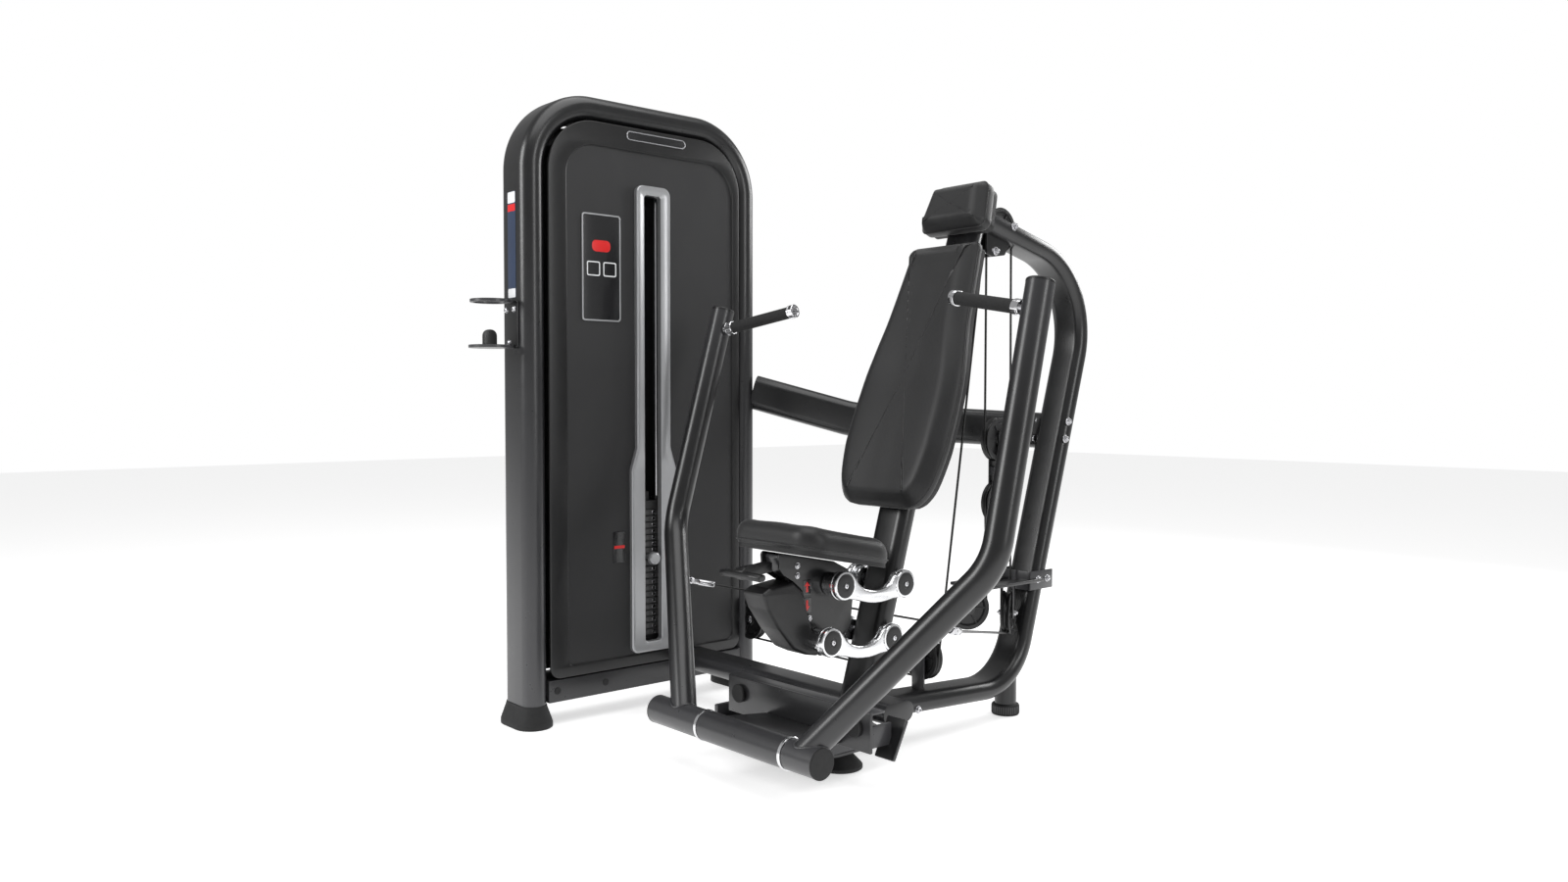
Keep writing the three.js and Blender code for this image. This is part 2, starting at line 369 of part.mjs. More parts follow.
// -------------------------------------------------------------- back and head
{
  const L = Math.hypot(BACK.y1 - BACK.y0, BACK.z1 - BACK.z0), ang = Math.atan2(BACK.y1 - BACK.y0, BACK.z1 - BACK.z0);
  // outline in the pad plane: x across, y up
  const poly = [[70, 0], [118, 18], [148, 60], [164, 140], [164, 250], [158, 330], [132, 470], [114, 620], [107, L - 12], [100, L]];
  const outline = [...poly, ...poly.slice().reverse().map(([x, y]) => [-x, y])];
  const s = new THREE.Shape(outline.map(([x, y]) => new THREE.Vector2(x, y)));
  const g = new THREE.ExtrudeGeometry(s, { depth: BACK.t, bevelEnabled: false });
  // x->X, y->along the lean, depth -> towards +Y normal
  const u = [0, Math.sin(ang), Math.cos(ang)], nrm = [0, Math.cos(ang), -Math.sin(ang)];
  g.applyMatrix4(new THREE.Matrix4().set(1, u[0], nrm[0], 0, 0, u[1], nrm[1], BACK.y0, 0, u[2], nrm[2], BACK.z0, 0, 0, 0, 1));
  let sg = solid(g); if (sg.volume() < 0) sg = solid(flip(g));
  const postBig = solid(sweep(stadium(TUBE.w + 1, TUBE.h + 1, 6), postCut));
  mesh('back_cushion', unsolid(sg.subtract(postBig)), PADC, 0.7, 0);
  const h = new THREE.Shape(rounded(-108, 108, 0, 132, 26, 3).map(([x, y]) => new THREE.Vector2(x * (1 - y / 132 * 0.2), y)));
  const hg = new THREE.ExtrudeGeometry(h, { depth: 84, bevelEnabled: false });
  hg.applyMatrix4(new THREE.Matrix4().set(1, 0, 0, 0, 0, u[1], nrm[1], 655, 0, u[2], nrm[2], 1282, 0, 0, 0, 1));
  let hs = solid(hg); if (hs.volume() < 0) hs = solid(flip(hg));
  const loopPts = fillet([[0, 437, 106], [0, 923, 80], [0, 1264.5, 1191], [0, 792, 1304]], [165, 225], 8);
  mesh('head_cushion', unsolid(hs.subtract(postBig).subtract(solid(sweep(stadium(TUBE.w + 0.8, TUBE.h + 0.8, 6), loopPts)))), PADC, 0.7, 0);
}

// ---------------------------------------------------- cable pulleys and cables
{
  const R = PULLEY.groove + PULLEY.cable + 1.2;         // cable centreline radius on a pulley
  const TOP = [0, 878, 1290], UP = [0, 881, 738], FLT = [0, 884, 572];
  const FRONT = [0, 589.5, 202], BASE = [-668, 589.5, 202];
  const SWL = [34, 884, 282], SWR = [-34, 800, 296];
  const flat = (s, c) => {                              // horizontal direction from an arm eye to its pulley
    const dx = c[0] - s * EYE[0], dy = c[1] - EYE[1], l = Math.hypot(dx, dy);
    return [dx / l, dy / l];
  };
  const eL = flat(1, SWL), eR = flat(-1, SWR);
  mesh('top_pulley', pulley(TOP), DARK, 0.45, 0.1);
  mesh('upper_pulley', pulley(UP), DARK, 0.45, 0.1);
  mesh('floating_pulley', pulley(FLT), DARK, 0.45, 0.1);
  mesh('swivel_pulley_left', pulley(SWL, [eL[1], -eL[0], 0]), DARK, 0.45, 0.1);
  mesh('swivel_pulley_right', pulley(SWR, [eR[1], -eR[0], 0]), DARK, 0.45, 0.1);
  mesh('front_pulley', pulley(FRONT, [0, 1, 0]), DARK, 0.45, 0.1);
  mesh('tower_base_pulley', pulley(BASE, [0, 1, 0]), DARK, 0.45, 0.1);
  // double block between the lift-cable loop and the arm-cable loop
  mesh('floating_block', join(box(13.5, 17.5, 864, 902, 545, 765), box(-17.5, -13.5, 864, 902, 545, 765),
    box(-14, 14, 866, 900, 644, 666), rod('x', 6, -20, 20, UP[1], UP[2], 14), rod('x', 6, -20, 20, FLT[1], FLT[2], 14)), BLACK, 0.5, 0.4);
  // bracket on the rear upright: a slotted shelf with a yoke for each arm-cable pulley
  const yoke = (c, e) => {
    const ax = Math.atan2(-e[0], e[1]);                 // turn from +X to the pulley axis
    const g = [box(13.6, 17.6, -17, 17, c[2] - 16 - 0, 360), box(-17.6, -13.6, -17, 17, c[2] - 16, 360),
      rod('x', 6, -21, 21, 0, c[2], 14)];
    return g.map((q) => q.rotateZ(ax).translate(c[0], c[1], 0));
  };
  const loopPts = fillet([[0, 437, 106], [0, 923, 80], [0, 1264.5, 1191], [0, 792, 1304]], [165, 225], 8);
  const shelf = plateZ(rounded(-62, 66, 762, 1000, 12, 2), 357, 365, [rounded(-17, 25, 812, 958, 8, 2).reverse()]);
  mesh('pulley_bracket', cut(join(shelf, ...yoke(SWL, eL), ...yoke(SWR, eR), box(-56, -50.8, 950, 1050, 335, 385), box(50.8, 56, 950, 1050, 335, 385),
    box(-56, 56, 950, 978, 335, 385)),
    sweep(stadium(TUBE.w + 1, TUBE.h + 1, 6), loopPts)), BLACK, 0.5, 0.4);
  const tube = (pts) => sweep(disc(PULLEY.cable, 8), pts);
  const arc = (c, u, v, a0, a1, n) => Array.from({ length: n + 1 }, (_, i) => {
    const a = (a0 + (a1 - a0) * i / n) * Math.PI / 180;
    return c.map((q, k) => q + R * (Math.cos(a) * u[k] + Math.sin(a) * v[k]));
  });
  const X = [1, 0, 0], Y = [0, 1, 0], ZZ = [0, 0, 1];
  mesh('lift_cable', tube([...arc(BASE, X, ZZ, -178, -90, 5), ...arc(FRONT, X, ZZ, -90, 4, 6),
    ...arc(TOP, Y, ZZ, 176, 0, 10)]), DARK, 0.5, 0.1);
  mesh('loop_cable', tube([[0, TOP[1] + R, TOP[2] - 1], ...arc(UP, Y, ZZ, 0, -180, 10), [0, 829, 1226]]), DARK, 0.5, 0.1);
  const riser = (c, e, a0, a1, n) => arc(c, [e[0], e[1], 0], ZZ, a0, a1, n);
  mesh('riser_cable', tube([...riser(SWL, eL, -92, 0, 5), ...arc(FLT, Y, ZZ, 0, 180, 10), ...riser(SWR, eR, 0, -92, 5)]), DARK, 0.5, 0.1);
  for (const [n, s, c, e] of [['arm_cable_left', 1, SWL, eL], ['arm_cable_right', -1, SWR, eR]]) {
    const from = [s * EYE[0], EYE[1] + 4.5, EYE[2] - 2];
    const low = [c[0] - 9 * e[0], c[1] - 9 * e[1], c[2] - R];
    mesh(n, tube([lerp3(from, low, 0.012), lerp3(from, low, 0.5), low]), DARK, 0.5, 0.1);
  }
  // bottle and towel holder on the front leg of the tower
  const yf = TOWER.yc - TOWER.halfW - TOWER.wall / 2 - GAP;
  const hub = -192, ringO = (r) => ring2(r, -756.5, hub, 24);
  mesh('accessory_holder', join(box(-786, -717, yf - 4, yf, 977, 1095),
    plateZ(ringO(52), 1088, 1096, [ringO(44).reverse()]), box(-775, -738, hub + 45, yf - 1, 1088, 1096),
    plateZ(ringO(56), 973, 981), box(-786, -727, hub + 30, yf - 1, 973, 981),
    box(-762, -751, -214, -178, 979, 1020)), BLACK, 0.5, 0.3);
}
export { root };
export default root;
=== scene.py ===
import bpy, bmesh, math, json
from mathutils import Vector, Matrix, noise
from math import sin, cos, pi, radians, hypot, atan2, sqrt

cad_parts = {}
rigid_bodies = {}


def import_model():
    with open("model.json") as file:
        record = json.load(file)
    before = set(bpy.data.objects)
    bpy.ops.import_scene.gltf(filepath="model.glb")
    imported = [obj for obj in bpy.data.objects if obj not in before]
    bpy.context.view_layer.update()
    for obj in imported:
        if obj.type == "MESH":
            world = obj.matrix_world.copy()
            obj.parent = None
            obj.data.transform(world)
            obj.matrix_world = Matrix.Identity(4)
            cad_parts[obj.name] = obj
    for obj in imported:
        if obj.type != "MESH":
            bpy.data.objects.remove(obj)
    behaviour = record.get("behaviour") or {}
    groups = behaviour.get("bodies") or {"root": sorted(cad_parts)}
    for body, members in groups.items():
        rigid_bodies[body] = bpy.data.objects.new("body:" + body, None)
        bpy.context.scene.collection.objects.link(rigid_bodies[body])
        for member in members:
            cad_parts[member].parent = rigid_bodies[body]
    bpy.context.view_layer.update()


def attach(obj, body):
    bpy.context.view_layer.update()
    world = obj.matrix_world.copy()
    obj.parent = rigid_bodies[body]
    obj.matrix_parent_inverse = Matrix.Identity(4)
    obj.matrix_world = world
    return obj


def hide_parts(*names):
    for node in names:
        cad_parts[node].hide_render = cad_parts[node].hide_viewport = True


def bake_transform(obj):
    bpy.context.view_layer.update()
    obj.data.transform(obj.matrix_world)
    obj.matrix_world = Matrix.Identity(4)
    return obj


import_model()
SX, SY = 139.95, -489.95          # design axes (seat mid-plane, arm pivot) to the row frame, mm


def V(p):
    return Vector(((p[0] + SX) / 1000, (p[1] + SY) / 1000, p[2] / 1000))


# ------------------------------------------------------------------ materials
def new_mat(name):
    m = bpy.data.materials.new(name)
    m.use_nodes = True
    nt = m.node_tree
    b = nt.nodes["Principled BSDF"]
    return m, nt, b


def tex_coord(nt):
    return nt.nodes.new("ShaderNodeTexCoord")


def noise_tex(nt, scale, detail=4, rough=0.55, dist=0.0, coord=None):
    n = nt.nodes.new("ShaderNodeTexNoise")
    n.inputs["Scale"].default_value = scale
    n.inputs["Detail"].default_value = detail
    n.inputs["Roughness"].default_value = rough
    n.inputs["Distortion"].default_value = dist
    nt.links.new((coord or tex_coord(nt)).outputs["Object"], n.inputs["Vector"])
    return n


def ramp(nt, src, a, b, ca, cb):
    r = nt.nodes.new("ShaderNodeValToRGB")
    r.color_ramp.elements[0].position = a
    r.color_ramp.elements[1].position = b
    r.color_ramp.elements[0].color = (*ca, 1) if len(ca) == 3 else ca
    r.color_ramp.elements[1].color = (*cb, 1) if len(cb) == 3 else cb
    nt.links.new(src, r.inputs["Fac"])
    return r


def bump(nt, src, strength, dist, prev=None):
    b = nt.nodes.new("ShaderNodeBump")
    b.inputs["Strength"].default_value = strength
    b.inputs["Distance"].default_value = dist
    nt.links.new(src, b.inputs["Height"])
    if prev:
        nt.links.new(prev.outputs["Normal"], b.inputs["Normal"])
    return b


def mix(nt, fac, a, b):
    m = nt.nodes.new("ShaderNodeMix")
    m.data_type = "RGBA"
    nt.links.new(fac, m.inputs["Factor"])
    for s, v in (("A", a), ("B", b)):
        sock = [i for i in m.inputs if i.name == s and i.type == "RGBA"][0]
        if hasattr(v, "links"):
            nt.links.new(v, sock)
        else:
            sock.default_value = (*v, 1)
    return [o for o in m.outputs if o.type == "RGBA"][0]


def painted_edge_highlight_mask(nt, lo, hi):
    """Painted highlight: a lighter colour mixed in where the surface is convex."""
    g = nt.nodes.new("ShaderNodeNewGeometry")
    r = nt.nodes.new("ShaderNodeMapRange")
    r.inputs["From Min"].default_value = lo
    r.inputs["From Max"].default_value = hi
    nt.links.new(g.outputs["Pointiness"], r.inputs["Value"])
    return r.outputs["Result"]


def surface(name, col, rough, var=0.25, rvar=0.08, big=6.0, fine=900.0, fine_s=0.12, fine_d=0.0002,
            metal=0.0, coat=0.0, coat_r=0.2, spec=0.5, painted_edge_highlight=None, mid=0.0, mid_scale=60.0):
    m, nt, b = new_mat(name)
    tc = tex_coord(nt)
    n1 = noise_tex(nt, big, 5, 0.6, 0.3, tc)
    lo = tuple(c * (1 - var) for c in col)
    hi = tuple(min(1, c * (1 + var)) for c in col)
    c = ramp(nt, n1.outputs["Fac"], 0.3, 0.7, lo, hi).outputs["Color"]
    # painted highlight: convex edges are mixed towards a lighter colour
    if painted_edge_highlight:
        w = painted_edge_highlight_mask(nt, painted_edge_highlight[1], painted_edge_highlight[2])
        c = mix(nt, w, c, painted_edge_highlight[0])
    nt.links.new(c, b.inputs["Base Color"])
    n2 = noise_tex(nt, big * 7, 4, 0.6, 0.0, tc)
    r = nt.nodes.new("ShaderNodeMapRange")
    r.inputs["To Min"].default_value = max(0.02, rough - rvar)
    r.inputs["To Max"].default_value = min(1.0, rough + rvar)
    nt.links.new(n2.outputs["Fac"], r.inputs["Value"])
    nt.links.new(r.outputs["Result"], b.inputs["Roughness"])
    n3 = noise_tex(nt, fine, 2, 0.5, 0.0, tc)
    bp = bump(nt, n3.outputs["Fac"], fine_s, fine_d)
    if mid:
        n4 = noise_tex(nt, mid_scale, 3, 0.5, 0.0, tc)
        bp = bump(nt, n4.outputs["Fac"], mid, 0.0006, bp)
    nt.links.new(bp.outputs["Normal"], b.inputs["Normal"])
    b.inputs["Metallic"].default_value = metal
    b.inputs["Specular IOR Level"].default_value = spec
    b.inputs["Coat Weight"].default_value = coat
    b.inputs["Coat Roughness"].default_value = coat_r
    return m


def leather(name, col, rough):
    m, nt, b = new_mat(name)
    tc = tex_coord(nt)
    v = nt.nodes.new("ShaderNodeTexVoronoi")
    v.feature = "SMOOTH_F1"
    v.inputs["Scale"].default_value = 420
    v.inputs["Randomness"].default_value = 1.0
    nt.links.new(tc.outputs["Object"], v.inputs["Vector"])
    n0 = noise_tex(nt, 3.5, 5, 0.6, 0.2, tc)
    n1 = noise_tex(nt, 240, 3, 0.6, 0.5, tc)
    lo = tuple(c * 0.8 for c in col); hi = tuple(c * 1.35 for c in col)
    base = ramp(nt, n0.outputs["Fac"], 0.3, 0.7, lo, hi).outputs["Color"]
    crease = ramp(nt, v.outputs["Distance"], 0.0, 0.45, (1, 1, 1), (0, 0, 0)).outputs["Color"]
    c = mix(nt, crease, base, tuple(c * 0.55 for c in col))
    nt.links.new(c, b.inputs["Base Color"])
    rr = nt.nodes.new("ShaderNodeMapRange")
    rr.inputs["To Min"].default_value = rough - 0.09
    rr.inputs["To Max"].default_value = rough + 0.09
    nt.links.new(n0.outputs["Fac"], rr.inputs["Value"])
    nt.links.new(rr.outputs["Result"], b.inputs["Roughness"])
    b1 = bump(nt, v.outputs["Distance"], 0.28, 0.0006)
    b2 = bump(nt, n1.outputs["Fac"], 0.22, 0.0005, b1)
    nt.links.new(b2.outputs["Normal"], b.inputs["Normal"])
    b.inputs["Sheen Weight"].default_value = 0.15
    b.inputs["Sheen Roughness"].default_value = 0.4
    b.inputs["Specular IOR Level"].default_value = 0.45
    return m


def metal(name, col, rough, rvar=0.06, stretch=None, fine_s=0.05):
    m, nt, b = new_mat(name)
    tc = tex_coord(nt)
    mp = nt.nodes.new("ShaderNodeMapping")
    mp.inputs["Scale"].default_value = stretch or (1, 1, 1)
    nt.links.new(tc.outputs["Object"], mp.inputs["Vector"])
    n = nt.nodes.new("ShaderNodeTexNoise")
    n.inputs["Scale"].default_value = 260
    n.inputs["Detail"].default_value = 3
    nt.links.new(mp.outputs["Vector"], n.inputs["Vector"])
    n0 = noise_tex(nt, 14, 4, 0.6, 0.2, tc)
    lo = tuple(c * 0.88 for c in col); hi = tuple(min(1, c * 1.06) for c in col)
    nt.links.new(ramp(nt, n0.outputs["Fac"], 0.3, 0.7, lo, hi).outputs["Color"], b.inputs["Base Color"])
    r = nt.nodes.new("ShaderNodeMapRange")
    r.inputs["To Min"].default_value = max(0.03, rough - rvar)
    r.inputs["To Max"].default_value = rough + rvar
    nt.links.new(n.outputs["Fac"], r.inputs["Value"])
    nt.links.new(r.outputs["Result"], b.inputs["Roughness"])
    bp = bump(nt, n.outputs["Fac"], fine_s, 0.0001)
    nt.links.new(bp.outputs["Normal"], b.inputs["Normal"])
    b.inputs["Metallic"].default_value = 1.0
    return m


M = dict(
    # the frame's lighter convex edges are a painted highlight
    frame=surface("powder_coat", (0.0062, 0.0063, 0.0068), 0.30, 0.18, 0.07, 5, 1400, 0.10, 0.0002, coat=0.15, coat_r=0.25, painted_edge_highlight=((0.07, 0.07, 0.075), 0.535, 0.60)),
    shroud=surface("shroud_abs", (0.0050, 0.0050, 0.0054), 0.34, 0.2, 0.06, 3, 1600, 0.22, 0.0003),
    panel=surface("shroud_panel_abs", (0.0125, 0.0125, 0.0133), 0.46, 0.15, 0.06, 2.5, 1600, 0.25, 0.0003),
    plastic=surface("moulded_nylon", (0.0045, 0.0045, 0.0050), 0.38, 0.2, 0.08, 10, 1200, 0.12, 0.0002),
    rubber=surface("black_rubber", (0.0058, 0.0058, 0.0062), 0.68, 0.25, 0.1, 12, 700, 0.3, 0.0004),
    grip=surface("grip_rubber", (0.0045, 0.0045, 0.0048), 0.75, 0.25, 0.08, 20, 520, 0.5, 0.0006),
    # the plates' lighter convex edges are a painted highlight
    plates=surface("stack_plate_paint", (0.005, 0.005, 0.0055), 0.42, 0.3, 0.1, 20, 500, 0.2, 0.0003, painted_edge_highlight=((0.10, 0.10, 0.10), 0.53, 0.60)),
    trim=surface("silver_trim", (0.40, 0.405, 0.415), 0.34, 0.06, 0.06, 6, 1500, 0.12, 0.0002, metal=0.65),
    chrome=metal("chrome", (0.82, 0.82, 0.84), 0.10, 0.05),
    alu=metal("polished_cast_aluminium", (0.78, 0.785, 0.80), 0.20, 0.09, (1, 1, 1), 0.10),
    zinc=metal("zinc_fastener", (0.62, 0.62, 0.64), 0.24, 0.08),
    leather=leather("pad_leather", (0.0058, 0.0058, 0.0063), 0.46),
    board=surface("pad_board", (0.004, 0.004, 0.0045), 0.55, 0.2, 0.1, 12, 900, 0.2, 0.0003),
    cable=surface("cable_nylon", (0.004, 0.004, 0.004), 0.35, 0.2, 0.05, 40, 1500, 0.2, 0.0002),
    label=surface("label_black", (0.008, 0.008, 0.009), 0.22, 0.1, 0.03, 12, 2000, 0.03, 0.0001, coat=0.4, coat_r=0.1),
    label_red=surface("label_red", (0.62, 0.012, 0.012), 0.30, 0.08, 0.04, 12, 2000, 0.03, 0.0001),
    label_white=surface("label_white", (0.72, 0.73, 0.74), 0.32, 0.05, 0.04, 12, 2000, 0.03, 0.0001),
    label_blue=surface("label_navy", (0.020, 0.035, 0.075), 0.32, 0.1, 0.04, 12, 2000, 0.03, 0.0001),
)


# ------------------------------------------------------------------- geometry
def piece(name, bm, mat, body, replaces=(), angle=32, bevel=0, seg=2, sub=0, wn=True):
    bmesh.ops.remove_doubles(bm, verts=bm.verts, dist=1e-6)
    bmesh.ops.recalc_face_normals(bm, faces=bm.faces)
    me = bpy.data.meshes.new(name)
    bm.to_mesh(me)
    bm.free()
    o = bpy.data.objects.new(name, me)
    bpy.context.scene.collection.objects.link(o)
    me.materials.append(M[mat])
    if bevel:
        b = o.modifiers.new("b", "BEVEL")
        b.width = bevel / 1000
        b.segments = seg
        b.limit_method = "ANGLE"
        b.angle_limit = radians(35)
        b.harden_normals = False
    if sub:
        s = o.modifiers.new("s", "SUBSURF")
        s.levels = s.render_levels = sub
    if bevel or sub:
        dg = bpy.context.evaluated_depsgraph_get()
        me2 = bpy.data.meshes.new_from_object(o.evaluated_get(dg))
        o.modifiers.clear()
        o.data = me2
        me2.name = name
        me = me2
    for p in me.polygons:
        p.use_smooth = True
    me.set_sharp_from_angle(angle=radians(angle))
    if body:
        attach(o, body)
    if replaces:
        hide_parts(*replaces)
    return o


def add(bm, verts, faces):
    vs = [bm.verts.new(V(v)) for v in verts]
    for f in faces:
        try:
            bm.faces.new([vs[i] for i in f])
        except ValueError:
            pass
    return vs


def stadium(w, h, n=10):
    r = h / 2; k = w / 2 - r
    o = [(k + r * cos(-pi / 2 + pi * i / n), r * sin(-pi / 2 + pi * i / n)) for i in range(n + 1)]
    o += [(-k + r * cos(pi / 2 + pi * i / n), r * sin(pi / 2 + pi * i / n)) for i in range(n + 1)]
    return o


def circle(r, n=32):
    return [(r * cos(2 * pi * i / n), r * sin(2 * pi * i / n)) for i in range(n)]


def rrect(x0, x1, y0, y1, r, n=8):
    o = []
    rs = r if isinstance(r, (list, tuple)) else [r] * 4
    for cx, cy, a0, q in ((x1 - rs[0], y1 - rs[0], 0, rs[0]), (x0 + rs[1], y1 - rs[1], 90, rs[1]),
                          (x0 + rs[2], y0 + rs[2], 180, rs[2]), (x1 - rs[3], y0 + rs[3], 270, rs[3])):
        for i in range(n + 1):
            a = radians(a0 + 90 * i / n)
            o.append((cx + q * cos(a), cy + q * sin(a)))
    return o


def fillet(pts, radii, n=14):
    P = [Vector(p) for p in pts]
    out = [P[0]]
    for i in range(1, len(P) - 1):
        a = (P[i - 1] - P[i]).normalized(); b = (P[i + 1] - P[i]).normalized()
        th = a.angle(b); r = radii[i - 1]
        c = P[i] + (a + b).normalized() * (r / sin(th / 2))
        T = r / math.tan(th / 2)
        s = P[i] + a * T - c; e = P[i] + b * T - c
        tot = s.angle(e)
        for k in range(n + 1):
            out.append(c + s * (sin(tot * (1 - k / n)) / sin(tot)) + e * (sin(tot * k / n) / sin(tot)))
    out.append(P[-1])
    return out


def sweep(bm, section, path, ref=None, caps=True, scale=None):
    """section (a, b): a runs along ref made square to the path. ref None: least-twist frames."""
    P = [Vector(p) for p in path]
    n = len(P); rows = []
    prev = None
    for i in range(n):
        t = Vector((0, 0, 0))
        if i: t += (P[i] - P[i - 1]).normalized()
        if i < n - 1: t += (P[i + 1] - P[i]).normalized()
        t.normalize()
        if ref is not None:
            r = Vector(ref)
        else:
            r = prev if prev else (Vector((0, 0, 1)) if abs(t.z) < 0.9 else Vector((1, 0, 0)))
        u = (r - t * r.dot(t)).normalized()
        prev = u
        w = t.cross(u)
        k = 1.0
        if 0 < i < n - 1:
            c = (P[i] - P[i - 1]).normalized().dot((P[i + 1] - P[i]).normalized())
            k = 1 / max(0.5, sqrt((1 + c) / 2))
        s = scale[i] if scale else 1.0
        rows.append([bm.verts.new(V(P[i] + u * a * s + w * b * s)) for a, b in section])
    m = len(section)
    for i in range(n - 1):
        for j in range(m):
            bm.faces.new((rows[i][j], rows[i][(j + 1) % m], rows[i + 1][(j + 1) % m], rows[i + 1][j]))
    if caps:
        bm.faces.new(rows[0][::-1])
        bm.faces.new(rows[-1])
    return rows


def frame_at(c, axis):
    z = Vector(axis).normalized()
    x = Vector((0, 0, 1)).cross(z)
    if x.length < 1e-3: x = Vector((1, 0, 0))
    x.normalize()
    return Vector(c), x, z.cross(x), z


def lathe(bm, prof, c=(0, 0, 0), axis=(0, 0, 1), n=40, closed=True):
    """prof: (radius, height) from one end to the other; ends at radius 0 close it."""
    C, X, Y, Z = frame_at(c, axis)
    rows = []
    for r, h in prof:
        if r < 1e-6:
            rows.append([bm.verts.new(V(C + Z * h))])
        else:
            rows.append([bm.verts.new(V(C + Z * h + X * (r * cos(2 * pi * i / n)) + Y * (r * sin(2 * pi * i / n)))) for i in range(n)])
    for a, b in zip(rows, rows[1:]):
        for i in range(n):
            j = (i + 1) % n
            if len(a) == 1 and len(b) == 1: continue
            if len(a) == 1: bm.faces.new((a[0], b[i], b[j]))
            elif len(b) == 1: bm.faces.new((a[i], a[j], b[0]))
            else: bm.faces.new((a[i], a[j], b[j], b[i]))


def ext(bm, outline, c, axis, d0, d1, xdir=None):
    """outline in the plane square to axis, extruded from d0 to d1 along it."""
    C, X, Y, Z = frame_at(c, axis)
    if xdir is not None:
        X = (Vector(xdir) - Z * Vector(xdir).dot(Z)).normalized(); Y = Z.cross(X)
    lo = [bm.verts.new(V(C + X * a + Y * b + Z * d0)) for a, b in outline]
    hi = [bm.verts.new(V(C + X * a + Y * b + Z * d1)) for a, b in outline]
    m = len(outline)
    for i in range(m):
        bm.faces.new((lo[i], lo[(i + 1) % m], hi[(i + 1) % m], hi[i]))
    bm.faces.new(lo[::-1]); bm.faces.new(hi)


def bx(bm, x0, x1, y0, y1, z0, z1):
    ext(bm, [(x0, y0), (x1, y0), (x1, y1), (x0, y1)], (0, 0, 0), (0, 0, 1), z0, z1, (1, 0, 0))


def plate(name, outlines, plane, d0, d1, mat, body, replaces=(), bev=1.5, angle=32, origin=(0, 0, 0)):
    """A plate with holes and rounded edges. plane 'yz': outline (y, z) from x=d0 to d1; 'xy': (x, y) from z=d0 to d1; 'xz'."""
    cu = bpy.data.curves.new(name, "CURVE")
    cu.dimensions = "2D"; cu.fill_mode = "BOTH"
    t = (d1 - d0)
    cu.extrude = t / 2 - bev
    cu.bevel_depth = bev; cu.bevel_resolution = 2; cu.offset = -bev
    for o in outlines:
        sp = cu.splines.new("POLY")
        sp.points.add(len(o) - 1)
        for q, (a, b) in zip(sp.points, o): q.co = (a, b, 0, 1)
        sp.use_cyclic_u = True
    ob = bpy.data.objects.new(name + "_c", cu)
    bpy.context.scene.collection.objects.link(ob)
    dg = bpy.context.evaluated_depsgraph_get()
    me = bpy.data.meshes.new_from_object(ob.evaluated_get(dg))
    bpy.data.objects.remove(ob)
    bm = bmesh.new(); bm.from_mesh(me); bpy.data.meshes.remove(me)
    mid = (d0 + d1) / 2
    for v in bm.verts:
        a, b, c = v.co
        p = {"yz": (mid + c, a, b), "xy": (a, b, mid + c), "xz": (a, mid + c, b)}[plane]
        v.co = V((p[0] + origin[0], p[1] + origin[1], p[2] + origin[2]))
    return piece(name, bm, mat, body, replaces, angle)


def arc(c, u, v, a0, a1, r, n):
    return [tuple(c[k] + r * (cos(radians(a0 + (a1 - a0) * i / n)) * u[k] + sin(radians(a0 + (a1 - a0) * i / n)) * v[k]) for k in range(3)) for i in range(n + 1)]


def bolt(name, c, axis, body, r=7.5, h=6, mat="zinc", washer=True, nut=False):
    """Button-head or hex fastener with a washer and a socket."""
    bm = bmesh.new()
    if washer:
        lathe(bm, [(0, 0), (r * 1.25, 0), (r * 1.3, 0.4), (r * 1.25, 1.2), (0, 1.2)], c, axis, 28)
    z0 = 1.0 if washer else 0
    if nut:
        hexo = [(r * 1.02 * cos(pi / 3 * i), r * 1.02 * sin(pi / 3 * i)) for i in range(6)]
        ext(bm, hexo, c, axis, z0, z0 + h)
        lathe(bm, [(0, z0 + h - 1), (r * 0.5, z0 + h - 1), (r * 0.5, z0 + h + 3), (r * 0.42, z0 + h + 3.6), (0, z0 + h + 3.6)], c, axis, 20)
    else:
        s = r * 0.42
        lathe(bm, [(r, z0), (r, z0 + h * 0.35), (r * 0.92, z0 + h * 0.72), (r * 0.7, z0 + h * 0.96), (s * 1.25, z0 + h), (s, z0 + h), (s, z0 + h * 0.35), (0, z0 + h * 0.35)], c, axis, 28)
    return piece(name, bm, mat, body, (), 30, bevel=0.35 if nut else 0, seg=1)


# ---------------------------------------------------------------------- tower
XC, YC, HW, TOPZ, WALL, DEP = -751.5, 243.5, 346, 1605, 66, 135
bm = bmesh.new()
path = fillet([(XC, YC - HW, 58), (XC, YC - HW, TOPZ), (XC, YC + HW, TOPZ), (XC, YC + HW, 58)], [175, 175], 28)
sweep(bm, stadium(DEP, WALL, 16), path, (1, 0, 0))
piece("tower_tube", bm, "frame", "base", ("tower_arch",), 40)
bm = bmesh.new()
bx(bm, -811, -687, YC - HW + 30, YC + HW - 30, 60, 118)
piece("tower_sill", bm, "frame", "base", (), 32, bevel=3, seg=3)
for i, y in enumerate((-48, 98)):
    bm = bmesh.new()
    lathe(bm, [(9.5, -1), (9.5, 1.2), (8.5, 2), (5, 2.2), (4.6, 1.6), (0, 1.6)], (-687, y, 90), (1, 0, 0), 28)
    piece("sill_plug_%d" % i, bm, "rubber", "base")
